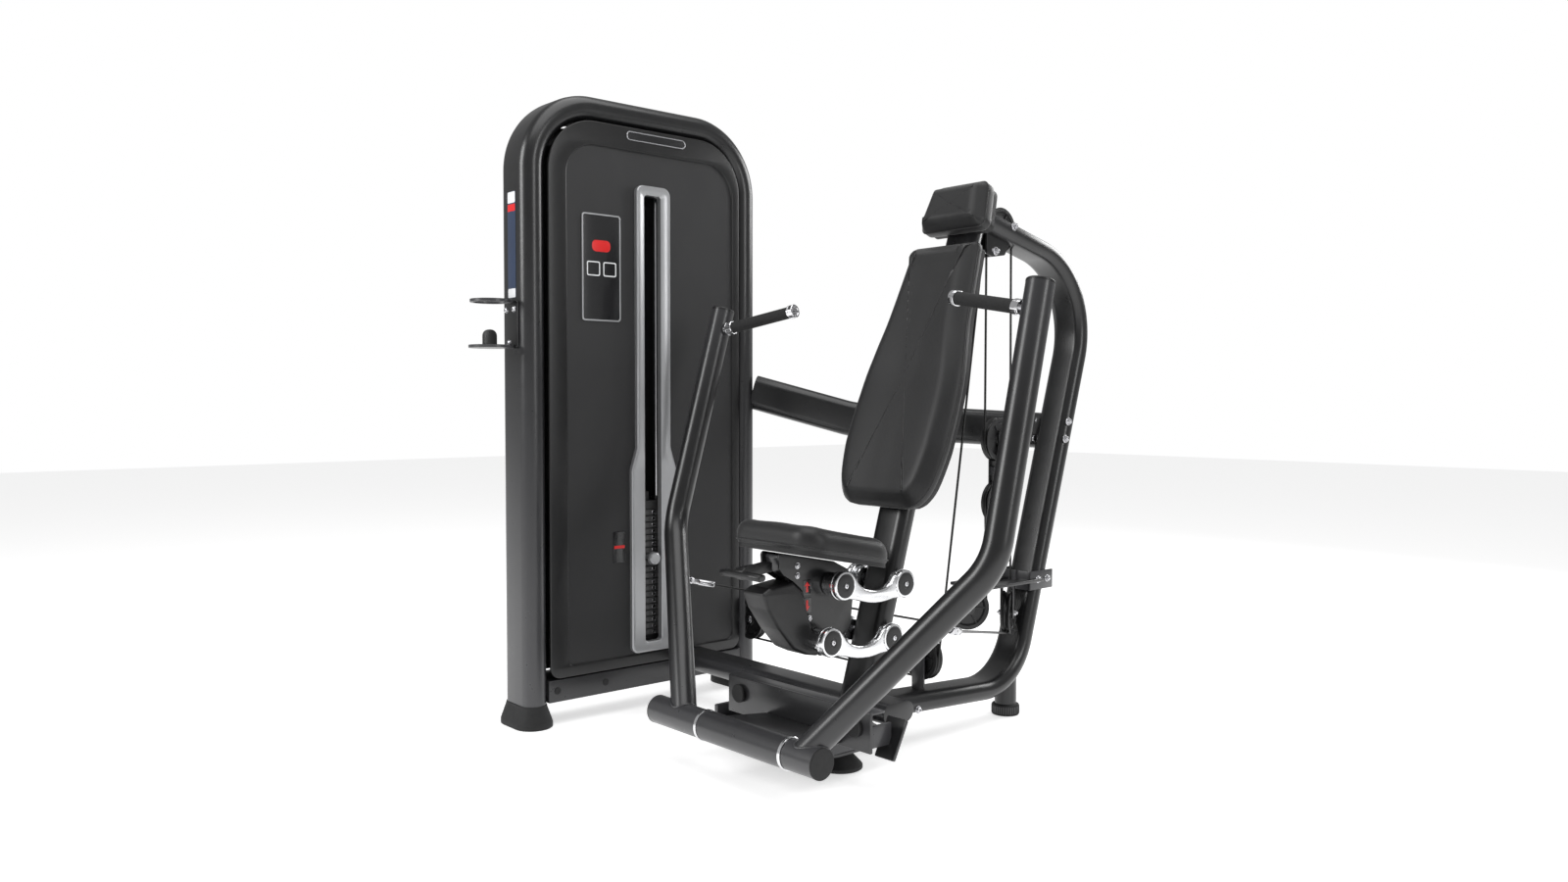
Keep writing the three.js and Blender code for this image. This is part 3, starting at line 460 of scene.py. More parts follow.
for nm, y in (("front", YC - HW), ("rear", YC + HW)):
    bm = bmesh.new()
    rows = []
    for m_, z in ((30, 0), (34, 2), (34, 13), (32, 16.5), (8, 50), (5, 54), (4, 58), (0.6, 58)):
        rows.append([bm.verts.new(V((XC + a, y + b, z))) for a, b in stadium(DEP + m_, WALL + m_, 12)])
    k = len(rows[0])
    for a, b in zip(rows, rows[1:]):
        for i in range(k):
            bm.faces.new((a[i], a[(i + 1) % k], b[(i + 1) % k], b[i]))
    bm.faces.new(rows[0][::-1]); bm.faces.new(rows[-1])
    piece("boot_" + nm, bm, "rubber", "base", ("tower_boot_" + nm,), 28)

# covers: an outer bezel, a recessed panel with a soft sculpted sweep, and the silver slot trim
yi0, yi1 = YC - HW + WALL / 2 + 1, YC + HW - WALL / 2 - 1
outer = rrect(yi0, yi1, 121, 1571, [141, 141, 30, 30], 18)
P0, P1, Q0, Q1 = -14, 529, 150, 1508
plate("shroud_bezel", [outer, rrect(P0, P1, Q0, Q1, [96, 82, 14, 22], 14)], "yz", -693, -684.6, "shroud", "base", ("shroud_front",), 3.2)
# ridge lines
plate("shroud_step", [rrect(P0 - 7, P1 + 7, Q0 - 6, Q1 + 7, [102, 88, 18, 26], 14), rrect(P0 + 1.5, P1 - 1.5, Q0 + 1.5, Q1 - 1.5, [94, 80, 13, 21], 14)], "yz", -694, -687.6, "shroud", "base", (), 1.5)


def smooth(a, b, t):
    t = min(1, max(0, (t - a) / (b - a)))
    return t * t * (3 - 2 * t)


bm = bmesh.new()
NY, NZ = 110, 250
ys = [P0 - 3 + (P1 - P0 + 6) * i / NY for i in range(NY + 1)]
zs = [Q0 - 3 + (Q1 - Q0 + 6) * j / NZ for j in range(NZ + 1)]
grid = []
for y in ys:
    row = []
    for z in zs:
        # a vertical crease left of the slot and a curve that sweeps from top right to lower left
        crease = 150 - 8 * sin(pi * smooth(500, 1400, z))
        curve = -10 + 170 * smooth(420, 900, z) + 260 * smooth(900, 1480, z)
        a = 2.8 * smooth(-26, 26, crease - y) * smooth(560, 900, z)
        b = 3.2 * smooth(-55, 30, y - curve) * (1 - 0.4 * smooth(1200, 1500, z))
        row.append(bm.verts.new(V((-690.6 + 0.9 * a * 0.6 + b * 0.55, y, z))))
    grid.append(row)
for i in range(NY):
    for j in range(NZ):
        y, z = (ys[i] + ys[i + 1]) / 2, (zs[j] + zs[j + 1]) / 2
        if 212 < y < 290 and 172 < z < 1406: continue
        bm.faces.new((grid[i][j], grid[i][j + 1], grid[i + 1][j + 1], grid[i + 1][j]))
ext_faces = bmesh.ops.extrude_face_region(bm, geom=list(bm.faces))
for v in [g for g in ext_faces["geom"] if isinstance(g, bmesh.types.BMVert)]:
    v.co.x -= 0.0025
piece("shroud_panel", bm, "panel", "base", (), 60)
rear_in = rrect(P0, P1, Q0, Q1, 60, 12)
plate("rear_cover_bezel", [outer, rear_in], "yz", -815, -806.6, "shroud", "base", ("shroud_rear",), 3)
plate("rear_cover_panel", [rrect(P0 - 4, P1 + 4, Q0 - 4, Q1 + 4, 62, 12)], "yz", -812.5, -808, "panel", "base", (), 1.5)
for i, (y, z) in enumerate([(8, 135), (480, 135), (-40, 700), (530 + 14, 700), (8, 1530), (480, 1530)]):
    bolt("rear_cover_screw_%d" % i, (-815, y, z), (-1, 0, 0), "base", 5, 3, "zinc", False)

SLY = 251
lip = [(SLY - 73, 155), (SLY + 73, 155), (SLY + 73, 655), (SLY + 55, 712), (SLY + 55, 1420), (SLY - 55, 1420), (SLY - 55, 712), (SLY - 73, 655)]


def round_poly(p, r, n=6):
    out = []
    m = len(p)
    for i in range(m):
        A, B, C = Vector(p[i - 1]), Vector(p[i]), Vector(p[(i + 1) % m])
        a = (A - B).normalized(); b = (C - B).normalized()
        th = a.angle(b); rr = r[i] if isinstance(r, (list, tuple)) else r
        if th > pi - 0.02 or rr <= 0:
            out.append(tuple(B)); continue
        T = min(rr / math.tan(th / 2), (A - B).length * 0.45, (C - B).length * 0.45)
        rr = T * math.tan(th / 2)
        c = B + (a + b).normalized() * (rr / sin(th / 2))
        s = B + a * T - c; e = B + b * T - c; tot = s.angle(e)
        for k in range(n + 1):
            q = c + s * (sin(tot * (1 - k / n)) / sin(tot)) + e * (sin(tot * k / n) / sin(tot))
            out.append(tuple(q))
    return out


def inset(p, d):
    m = len(p); out = []
    area = sum(p[i][0] * p[(i + 1) % m][1] - p[(i + 1) % m][0] * p[i][1] for i in range(m))
    s = 1 if area > 0 else -1
    for i in range(m):
        A, B, C = Vector(p[i - 1]), Vector(p[i]), Vector(p[(i + 1) % m])
        e1 = (B - A).normalized(); e2 = (C - B).normalized()
        n1 = Vector((-e1.y, e1.x)) * s; n2 = Vector((-e2.y, e2.x)) * s
        k = (n1 + n2); k /= max(0.3, k.length_squared / 2)
        out.append(tuple(B + k * d))
    return out


# trim: an angled silver frame, raised at the outside and falling into the slot
def loft_ring(name, rings, mat, body, rep=(), angle=30):
    bm = bmesh.new()
    rows = [[bm.verts.new(V((x, y, z))) for y, z in o] for o, x in rings]
    k = len(rows[0]); nr = len(rows)
    for q in range(nr):
        a, b = rows[q], rows[(q + 1) % nr]
        for i in range(k):
            bm.faces.new((a[i], a[(i + 1) % k], b[(i + 1) % k], b[i]))
    return piece(name, bm, mat, body, rep, angle)


LR = [20, 20, 26, 26, 22, 22, 26, 26]
lo_ = round_poly(lip, LR, 8)
inner_box = [(SLY - 27, 181), (SLY + 27, 181), (SLY + 27, 655), (SLY + 27, 712), (SLY + 27, 1396), (SLY - 27, 1396), (SLY - 27, 712), (SLY - 27, 655)]
IR = [9, 9, 0.01, 0.01, 9, 9, 0.01, 0.01]


def rp2(p, r, n=8):
    """As round_poly, with the same count of points at every corner."""
    out = []
    m = len(p)
    for i in range(m):
        A, B, C = Vector(p[i - 1]), Vector(p[i]), Vector(p[(i + 1) % m])
        a = (A - B).normalized(); b = (C - B).normalized()
        th = a.angle(b); rr = r[i]
        if th > pi - 0.03:
            for k in range(n + 1): out.append(tuple(B + (C - A).normalized() * (k - n / 2) * 1.2))
            continue
        T = min(rr / math.tan(th / 2), (A - B).length * 0.45, (C - B).length * 0.45)
        rr = T * math.tan(th / 2)
        c = B + (a + b).normalized() * (rr / sin(th / 2))
        s = B + a * T - c; e = B + b * T - c; tot = s.angle(e)
        for k in range(n + 1):
            out.append(tuple(c + s * (sin(tot * (1 - k / n)) / sin(tot)) + e * (sin(tot * k / n) / sin(tot))))
    return out


lipr = rp2(lip, LR)
lip1 = rp2(inset(lip, 2.2), [18, 18, 26, 26, 20, 20, 26, 26])
lip2 = rp2(inset(lip, 5), [16, 16, 26, 26, 18, 18, 26, 26])
lip3 = rp2(inset(lip, 13), [13, 13, 26, 26, 14, 14, 26, 26])
inn = rp2(inner_box, IR)
inn0 = rp2(inset(inner_box, -1.6), [10, 10, .01, .01, 10, 10, .01, .01])
loft_ring("slot_frame", [(lipr, -690), (lipr, -678.5), (lip1, -676.2), (lip2, -675.6), (lip3, -677.4), (inn0, -681.5), (inn, -683), (inn, -700), (rp2(inset(inner_box, -6), [12, 12, .01, .01, 12, 12, .01, .01]), -700)],
          "trim", "base", ("slot_trim",), 28)
# blank badge, blank placard, small plain labels
plate("badge_rim", [rrect(169, 363, 1536, 1560, 11.9, 8), rrect(171.5, 360.5, 1538.5, 1557.5, 9.4, 8)], "yz", -685.5, -682.6, "zinc", "base", (), 0.5)
plate("badge_face", [rrect(170.5, 361.5, 1537.5, 1558.5, 10.4, 8)], "yz", -686, -683.6, "label", "base", (), 0.4)
plate("placard_rim", [rrect(31, 150, 1050, 1331, 9, 6), rrect(35, 146, 1054, 1327, 6, 6)], "yz", -688.5, -685.2, "trim", "base", (), 0.7)
plate("placard_face", [rrect(33, 148, 1052, 1329, 7, 6)], "yz", -689, -686.4, "label", "base", (), 0.4)
plate("placard_mark_a", [rrect(62, 118, 1232, 1262, 12, 6)], "yz", -686.6, -686.0, "label_red", "base", (), 0.15)
for i, y in enumerate((46, 96)):
    plate("placard_mark_b%d" % i, [rrect(y, y + 40, 1168, 1206, 5, 4), rrect(y + 3, y + 37, 1171, 1203, 3, 4)], "yz", -686.6, -686.0, "label_white", "base", (), 0.12)
plate("note_label", [rrect(125, 162, 405, 490, 3, 4)], "yz", -689.5, -687.2, "label", "base", (), 0.3)
plate("note_label_band", [rrect(127, 160, 444, 452, 1, 3)], "yz", -687.4, -686.9, "label_red", "base", (), 0.1)
yf = YC - HW - WALL / 2
plate("side_label", [rrect(-771, -731, 1102, 1372, 4, 4)], "xz", yf - 0.7, yf + 0.2, "label_blue", "base", (), 0.12)
plate("side_label_top", [rrect(-770, -732, 1343, 1371, 3, 4)], "xz", yf - 0.95, yf - 0.3, "label_white", "base", (), 0.1)
plate("side_label_red", [rrect(-770, -732, 1322, 1340, 1, 3)], "xz", yf - 0.95, yf - 0.3, "label_red", "base", (), 0.1)
plate("side_label_foot", [rrect(-770, -732, 1103, 1126, 3, 4)], "xz", yf - 0.95, yf - 0.3, "label_white", "base", (), 0.1)

# ------------------------------------------------------------------ the stack
SXC, PITCH, Z0 = -742, 17.5, 190
for i in range(20):
    z = Z0 + i * PITCH
    bm = bmesh.new()
    ext(bm, rrect(-22, 22, -125, 125, 4, 3), (SXC, SLY, 0), (0, 0, 1), z + 0.9, z + PITCH - 0.9, (1, 0, 0))
    bx(bm, SXC + 21, SXC + 22.6, SLY - 9, SLY + 9, z + 4, z + PITCH - 4)
    piece("plate_%02d" % (i + 1), bm, "plates", "base" if i < 12 else "stack", ("resting_plates",) if i == 0 else (("lifted_plates",) if i == 12 else ()), 30, bevel=0.9, seg=1)
    bm = bmesh.new()
    lathe(bm, [(6.2, 0), (6.2, 0.9), (5, 1.2), (4.6, 0.5), (0, 0.5)], (SXC + 22.4, SLY + 26, z + PITCH / 2), (1, 0, 0), 18)
    piece("plate_mark_%02d" % (i + 1), bm, "zinc", "base" if i < 12 else "stack")
bm = bmesh.new()
ext(bm, rrect(-22, 22, -125, 125, 4, 3), (SXC, SLY, 0), (0, 0, 1), 540.3, 564, (1, 0, 0))
ext(bm, rrect(-16, 16, -16, 16, 5, 3), (SXC, SLY, 0), (0, 0, 1), 563.5, 590, (1, 0, 0))
piece("top_plate", bm, "plates", "stack", ("head_plate",), 30, bevel=1.5, seg=2)
for y in (SLY - 52, SLY + 52):
    nm = "front" if y < SLY else "rear"
    bm = bmesh.new()
    lathe(bm, [(0, 118.4), (9, 118.4), (9, 1404.6), (0, 1404.6)], (SXC, y, 0), (0, 0, 1), 32)
    piece("rod_" + nm, bm, "chrome", "base", ("guide_rod_" + nm,))
    bm = bmesh.new()
    lathe(bm, [(9.4, 539), (15, 539), (15, 574), (13.5, 576), (9.4, 576)], (SXC, y, 0), (0, 0, 1), 28)
    piece("rod_bush_" + nm, bm, "plastic", "stack")
bm = bmesh.new()
lathe(bm, [(0, 578), (6, 578), (6, 640), (9, 642), (9, 668), (5, 674), (0, 674)], (SXC, SLY, 0), (0, 0, 1), 24)
piece("cable_socket", bm, "plastic", "stack")
ZP = Z0 + 12.5 * PITCH
bm = bmesh.new()
lathe(bm, [(0, -62), (4.6, -62), (4.8, -60), (4.8, 0)], (-684, SLY, ZP), (1, 0, 0), 24)
lathe(bm, [(4.8, -16), (15.5, -16), (17, -14), (17, -4), (15.8, -1.2), (13, 0.5), (11, 0.2), (0, 0.6)], (-672.8 + 0.2, SLY, ZP), (1, 0, 0), 36)
piece("pin_knob", bm, "trim", "pin", ("selector_pin",), 30)
bm = bmesh.new()
lathe(bm, [(0, 196), (11, 196), (11.8, 198), (11.8, 578), (0, 578)], (SXC, SLY, 0), (0, 0, 1), 28)
piece("selector_bar", bm, "zinc", "stack", ("selector_rod",))

# ------------------------------------------------------------ base and frames
TW, TH = 100, 50
bm = bmesh.new()
sweep(bm, stadium(100, 50, 14), [(-683.5, 385, 117), (112, 385, 117)], (0, 1, 0))
piece("floor_beam", bm, "frame", "base", ("base_beam",), 40, bevel=0.8, seg=2)
loopPts = fillet([(0, 437, 106), (0, 923, 80), (0, 1264.5, 1191), (0, 792, 1304)], [165, 225], 30)
bm = bmesh.new()
sweep(bm, stadium(TW, TH, 14), loopPts, (1, 0, 0))
piece("rear_loop", bm, "frame", "base", ("loop_frame",), 40, bevel=0.8, seg=2)
# moulded end caps of the loop's upper end
bm = bmesh.new()
e0, e1 = loopPts[-1], loopPts[-2]
dr = (e0 - e1).normalized()
sweep(bm, stadium(TW + 3, TH + 3, 14), [e0 - dr * 6, e0 + dr * 1.5, e0 + dr * 4], (1, 0, 0), scale=[1, 1, 0.95])
piece("loop_end_cap", bm, "plastic", "base", (), 40, bevel=1.2, seg=2)
postPath = fillet([(0, 361, 128), (0, 503, 600), (0, 758, 1300)], [900], 12)
bm = bmesh.new()
sweep(bm, stadium(TW, TH, 14), postPath, (1, 0, 0))
piece("seat_mast", bm, "frame", "base", ("seat_post",), 40, bevel=0.8, seg=2)
ub = fillet([(-700, 622.8, 866), (-472, 807, 786), (-56, 1142, 757)], [260], 18)
bm = bmesh.new()
sweep(bm, stadium(TW, TH, 14), ub, (0, 0, 1))
piece("bridge_beam", bm, "frame", "base", ("upper_beam",), 40, bevel=0.8, seg=2)

# cross frame: front plate, ribs, foot carriers
bm = bmesh.new()
bx(bm, -240, 240, 160.7, 168.7, 93, 181)
piece("cross_plate", bm, "frame", "base", ("cross_frame",), 30, bevel=1.6, seg=3)
bm = bmesh.new(); bx(bm, -240, 240, 167, 203, 174.5, 181)
piece("cross_flange", bm, "frame", "base", (), 30, bevel=1.6, seg=2)
for i, (a, b) in enumerate(((-118, -106), (106, 118))):
    bm = bmesh.new(); ext(bm, [(168, 62), (332, 62), (332, 90), (200, 172), (168, 172)], (0, 0, 0), (1, 0, 0), a, b, (0, 1, 0))
    piece("cross_rib_%d" % i, bm, "frame", "base", (), 30, bevel=1.5)
bm = bmesh.new(); ext(bm, rrect(-310, 118, 169, 334, 16, 5), (0, 0, 0), (0, 0, 1), 54.3, 62, (1, 0, 0))
piece("foot_carrier", bm, "frame", "base", (), 30, bevel=1.5)
bm = bmesh.new(); bx(bm, -310, -298, 172, 332, 60, 92)
piece("carrier_web", bm, "frame", "base", (), 30, bevel=1.5)
# raised box from the pivot housing back to the cross plate
bm = bmesh.new()
ext(bm, [(20, 82), (160.5, 96), (160.5, 116), (20, 132)], (0, 0, 0), (1, 0, 0), -100, 150, (0, 1, 0))
piece("pivot_neck", bm, "frame", "base", (), 30, bevel=4, seg=3)
for s, x, y in ((1, 45, 259), (-1, -270, 245)):
    bm = bmesh.new()
    lathe(bm, [(0, 0), (50, 0), (53, 2), (53, 9), (50, 13), (30, 34), (27, 40), (27, 47), (24, 49.5), (0, 49.5)], (x, y, 0), (0, 0, 1), 48)
    piece("level_foot_%s" % ("left" if s > 0 else "right"), bm, "rubber", "base", ("foot_left" if s > 0 else "foot_right",))
    bm = bmesh.new()
    hexo = [(13 * cos(pi / 3 * i), 13 * sin(pi / 3 * i)) for i in range(6)]
    ext(bm, hexo, (x, y, 0), (0, 0, 1), 49, 54)
    piece("level_nut_%s" % ("left" if s > 0 else "right"), bm, "zinc", "base", (), 30, bevel=0.6)
bm = bmesh.new()
prof = [(0, 0), (33, 0), (36, 2), (36.5, 24), (34, 28), (30, 28.5), (29, 30), (29, 55)]
FT = 140                     # up into the underside of the loop, whose bend is well above the floor here
lathe(bm, prof[:-1] + [(29, FT), (0, FT)], (0, 921, 0), (0, 0, 1), 56)
piece("rear_foot_tube", bm, "frame", "base", ("rear_foot",))
bm = bmesh.new()
o = []
for i in range(144):
    r = 37.2 if (i // 2) % 2 else 35.6
    o.append((r * cos(2 * pi * i / 144), r * sin(2 * pi * i / 144)))
ext(bm, o, (0, 921, 0), (0, 0, 1), 4, 25)
lathe(bm, [(0, 0), (35, 0), (36.5, 2), (36.5, 5), (0, 5)], (0, 921, 0), (0, 0, 1), 56)
lathe(bm, [(30, 24), (36.5, 24), (35, 28), (30, 30)], (0, 921, 0), (0, 0, 1), 56)
piece("rear_foot_cap", bm, "rubber", "base", (), 25)

# ------------------------------------------------------------------ the pivot
bm = bmesh.new()
lathe(bm, [(13, -113), (33, -113), (34, -111.5), (34, 162), (33, 163.4), (13, 163.4)], (0, 0, 111), (1, 0, 0), 64)
piece("pivot_tube", bm, "frame", "base", ("pivot_housing",))
for i, x in enumerate((-113.6, 163.7)):
    bm = bmesh.new()
    lathe(bm, [(13, 0), (34.6, 0), (35.6, 0.8), (35.6, 7.2 if x > 0 else -6.4 + 0), (34.6, 8 if x > 0 else -7.2), (13, 8 if x > 0 else -7.2)] if x > 0 else
          [(13, -7.4), (34.6, -7.4), (35.6, -6.6), (35.6, -0.8), (34.6, 0), (13, 0)], (x, 0, 111), (1, 0, 0), 64)
    piece("pivot_ring_%d" % i, bm, "alu", "base")
bm = bmesh.new()
lathe(bm, [(0, -298.5), (11.9, -298.5), (11.9, 257.5), (0, 257.5)], (0, 0, 111), (1, 0, 0), 40)
piece("pivot_bar", bm, "chrome", "base", ("pivot_shaft",))
for s, nm in ((1, "left"), (-1, "right")):
    body = nm + "_arm"
    bm = bmesh.new()
    path = fillet([(s * 201, 0, 111), (s * 527, 211.4, 520.4), (s * 517.6, 364.2, 1080.9)], [150], 22)
    sweep(bm, circle(30, 56), path)
    piece(nm + "_arm_tube", bm, "frame", body, (nm + "_arm",), 40, bevel=0.8, seg=1)
    t = (path[-1] - path[-2]).normalized()
    bm = bmesh.new()
    lathe(bm, [(0, -2), (30.4, -2), (30.6, 0), (30.2, 2.6), (28.8, 4.2), (20, 5.0), (0, 5.4)], path[-1], t, 56)
    piece(nm + "_arm_cap", bm, "plastic", body)
    bm = bmesh.new()
    a, b = (172.4, 262) if s > 0 else (121.4, 303)
    lathe(bm, [(12.6, a), (32, a), (33, a + 1), (33, b - 1), (32, b), (12.6, b)], (0, 0, 111), (s, 0, 0), 64)
    piece(nm + "_arm_sleeve", bm, "frame", body)
    bm = bmesh.new()
    lathe(bm, [(0, b - 3), (31, b - 3), (33.3, b - 1), (33.3, b + 1.0), (31.5, b + 2.4), (20, b + 3.2), (0, b + 3.4)], (0, 0, 111), (s, 0, 0), 56)
    piece(nm + "_sleeve_cap", bm, "rubber", body)
    # weld bead where the arm tube meets its sleeve
    bm = bmesh.new()
    T = (Vector((527 * s, 211.4, 520.4)) - Vector((201 * s, 0, 111))).normalized()
    pts = []
    import random
    rnd = random.Random(7)
    ux = Vector((0, -T.z, T.y)).normalized(); wx = T.cross(ux)
    for i in range(97):
        an = 2 * pi * i / 96
        d = ux * cos(an) + wx * sin(an)
        # run along the tube until the sleeve's surface is met
        lo_t, hi_t = 0.0, 120.0
        for _ in range(22):
            mt = (lo_t + hi_t) / 2
            q = Vector((201 * s, 0, 111)) + d * 30 + T * mt
            if hypot(q.y, q.z - 111) < 33: lo_t = mt
            else: hi_t = mt
        pts.append(Vector((201 * s, 0, 111)) + d * 30.6 + T * hi_t)
    sweep(bm, circle(2.6, 8), pts, None, caps=True)
    piece(nm + "_arm_weld", bm, "frame", body, (), 60)
    # handle
    A = Vector((s * 487, 352, 1030)); B = Vector((s * 262, 395, 1068)); D = (B - A).normalized(); Lh = (B - A).length
    bm = bmesh.new()
    lathe(bm, [(0, -4), (10, -4), (10, Lh), (0, Lh)], A, D, 32)
    piece(nm + "_handle_bar", bm, "chrome", body, (nm + "_handle",))
    for k, (a, b) in enumerate(((0.02 * Lh, 0.115 * Lh), (0.925 * Lh, Lh + 1))):
        bm = bmesh.new()
        lathe(bm, [(0 if k else 10, a), (16.4, a), (17.5, a + 1.2), (17.5, a + 4), (17.0, a + 4.6), (17.0, a + 5.6), (17.5, a + 6.2), (17.5, b - 1.6), (16.2, b), (12, b), (11, b - (1.5 if k else 0)), (0 if k else 10, b - (1.5 if k else 0))], A, D, 48)
        piece("%s_collar_%d" % (nm, k), bm, "chrome", body)
    bm = bmesh.new()
    prof = [(10.4, 0.117 * Lh), (14.2, 0.117 * Lh), (15, 0.117 * Lh + 1)]
    z = 0.117 * Lh + 3
    while z < 0.923 * Lh - 3:
        prof += [(15.0, z), (15.0, z + 2.2), (14.72, z + 2.5), (14.72, z + 2.9)]
        z += 3.2
    prof += [(15, 0.923 * Lh - 1), (14.2, 0.923 * Lh), (10.4, 0.923 * Lh)]
    lathe(bm, prof, A, D, 40)
    piece(nm + "_grip_sleeve", bm, "grip", body, (nm + "_grip",), 50)
    # cable eye: boss, swivel stud and nut on the back of the arm
    E0 = Vector((s * 435, 150, 404)); E1 = Vector((s * 435, 200, 380)); ED = (E1 - E0).normalized()
    bm = bmesh.new()
    lathe(bm, [(0, 14), (13, 14), (13, 26), (11, 28), (6, 28), (6, 42), (9, 43), (9, 52), (7, 54), (0, 54)], E0, ED, 32)
    piece(nm + "_cable_boss", bm, "zinc", body, (), 30)
    bm = bmesh.new()
    lathe(bm, [(0, -9), (5, -9), (5.6, -8), (5.6, 8), (5, 9), (0, 9)], E1 - ED * 4, (1, 0, 0), 24)
    piece(nm + "_cable_pin", bm, "zinc", body, (), 30)
    # stop plate, stud and rubber
    bm = bmesh.new()
    an = radians(-27.3)
    cx, cy, cz = s * 230, 236, 112
    o = rrect(-28, 28, -46, 46, 4, 4)
    C0 = Vector((cx, cy, cz)); nrm = Vector((0, cos(an), sin(an))); up = Vector((0, -sin(an), cos(an)))
    ext(bm, o, C0, nrm, -4, 4, (1, 0, 0))
    piece("stop_plate_" + nm, bm, "frame", "base", ("stop_" + nm,), 30, bevel=1.2)
    bm = bmesh.new()
    bx(bm, min(s * 224, s * 232), max(s * 224, s * 232), 169.4, 234, 100.6, 148)
    piece("stop_web_" + nm, bm, "frame", "base", (), 30, bevel=1.2)
    bm = bmesh.new()
    lathe(bm, [(0, 0), (20, 0), (22, 2), (22, 7.5), (20, 9.5), (0, 9.5)], (s * 195, 151, 143), (0, 1, 0), 40)
    piece("bumper_" + nm, bm, "rubber", "base")

# --------------------------------------------------------------- seat linkage
A_, B_, LK = (435, 410), (395, 287), (-197, 15)


def link_outline(p, n=14):
    A = (p[0] + LK[0], p[1] + LK[1]); R = 31; o = []
    for i in range(n + 1):
        a = radians(62 + 216 * i / n); o.append((A[0] + R * cos(a), A[1] + R * sin(a)))
    for t, d in ((0.2, -34), (0.3, -38.5), (0.4, -41.5), (0.5, -42.5), (0.6, -41.5), (0.7, -38.5), (0.8, -34)):
        o.append((A[0] - LK[0] * t, A[1] - LK[1] * t + d))
    for i in range(n + 1):
        a = radians(-98 + 216 * i / n); o.append((p[0] + R * cos(a), p[1] + R * sin(a)))
    for t, d in ((0.82, 18), (0.76, 3), (0.68, -7), (0.58, -12), (0.5, -13), (0.42, -12), (0.32, -7), (0.24, 3), (0.18, 18)):
        o.append((A[0] - LK[0] * t, A[1] - LK[1] * t + d))
    return o


for lv, p in (("upper", A_), ("lower", B_)):
    for s, sd in ((1, "left"), (-1, "right")):
        body = lv + "_links"
        x0, x1 = (66, 84) if s > 0 else (-84, -66)
        plate("%s_link_%s" % (lv, sd), [link_outline(p)], "yz", x0, x1, "alu", body, ("link_%s_%s" % (lv, sd),), 5.5, 50)
        for k, q in enumerate(((p[0] + LK[0], p[1] + LK[1]), p)):
            inn_ = 33 if k == 0 else 50.6
            bm = bmesh.new()
            lathe(bm, [(12, inn_ + 0.3), (25, inn_ + 0.3), (26.5, inn_ + 2), (26.5, 60), (24, 62), (24, 64), (31.5, 65), (33, 67), (33, 71.5), (31.6, 72.4), (31.6, 75.6), (33, 76.5), (33, 84), (31.5, 86), (27.5, 86.6), (26, 85), (12, 85)], (0, q[0], q[1]), (s, 0, 0), 64)
            piece("%s_boss_%s_%d" % (lv, sd, k), bm, "alu", body, (), 28)
            bm = bmesh.new()
            lathe(bm, [(0, 80), (26, 80), (26.6, 85.5), (25.4, 87.4), (20, 88.2), (11, 88.2), (10, 87.4), (0, 87.4)], (0, q[0], q[1]), (s, 0, 0), 56)
            piece("%s_cap_%s_%d" % (lv, sd, k), bm, "plastic", body, (), 28)
            bolt("%s_cap_bolt_%s_%d" % (lv, sd, k), (s * 87, q[0], q[1]), (s, 0, 0), body, 6, 3.4, "zinc", False)
car = [(84, 508), (252, 474.4), (300, 451), (316, 405), (306, 318), (262, 284), (214, 262), (207.5, 263), (153.5, 419), (128, 440), (100, 456), (88, 470)]
for s, sd in ((1, "left"), (-1, "right")):
    x0, x1 = (26, 32) if s > 0 else (-32, -26)
    plate("carriage_cheek_" + sd, [round_poly(car, 9, 5)], "yz", x0, x1, "frame", "seat", ("seat_carriage",) if s > 0 else (), 1.1)
    for i, (y, z) in enumerate(((140, 474), (140, 452), (176, 352), (284, 430))):
        bolt("carriage_bolt_%s_%d" % (sd, i), (s * 32, y, z), (s, 0, 0), "seat", 5.5, 3.8)
    # two plain arrows, up and down
    for k, (z, f) in enumerate(((423, 1), (383, -1))):
        plate("arrow_label_%s_%d" % (sd, k), [rrect(157, 181, z - 17, z + 17, 2.5, 3)], "yz", *((31.6, 32.5) if s > 0 else (-32.5, -31.6)), "label", "seat", (), 0.12)
        ar = [(169, z + 13 * f), (177.5, z + 3 * f), (172, z + 3 * f), (172, z - 11 * f), (166, z - 11 * f), (166, z + 3 * f), (160.5, z + 3 * f)]
        plate("arrow_%s_%d" % (sd, k), [ar], "yz", *((32.3, 32.75) if s > 0 else (-32.75, -32.3)), "label_red", "seat", (), 0.08)
bm = bmesh.new()
ext(bm, round_poly([(92, 502), (250, 470.5), (292, 448), (306, 405), (298, 322), (258, 290), (214, 270), (160, 420), (132, 446), (104, 462)], 6, 4), (0, 0, 0), (1, 0, 0), -26.5, 26.5, (0, 1, 0))
piece("carriage_core", bm, "frame", "seat", (), 30, bevel=1)
cov = [(36, 421), (60, 432), (127, 440), (152.2, 418), (206, 263), (166, 271), (128, 288), (84, 338), (50, 386)]
plate("carriage_cover", [round_poly(cov, [7, 10, 12, 4, 6, 14, 20, 22, 14], 6)], "yz", -37, 37, "plastic", "seat", ("seat_cover",), 7)
# seat-adjust lever, arm and paddle, under the pad
bm = bmesh.new()
lever = round_poly([(-6, 460), (4, 453), (50, 460), (82.5, 465), (82.5, 486), (50, 482), (6, 480), (-4, 474)], 3, 4)
ext(bm, lever, (0, 0, 0), (1, 0, 0), -14, 14, (0, 1, 0))
piece("lever_arm", bm, "plastic", "lever", ("seat_lever",), 30, bevel=2, seg=2)
bm = bmesh.new()
sweep(bm, stadium(26, 15, 8), fillet([(-66, 10, 462), (-40, 4, 464), (40, 4, 464), (66, 10, 462)], [40, 40], 8), (0, 1, 0))
piece("lever_paddle", bm, "plastic", "lever", (), 30, bevel=3, seg=3)

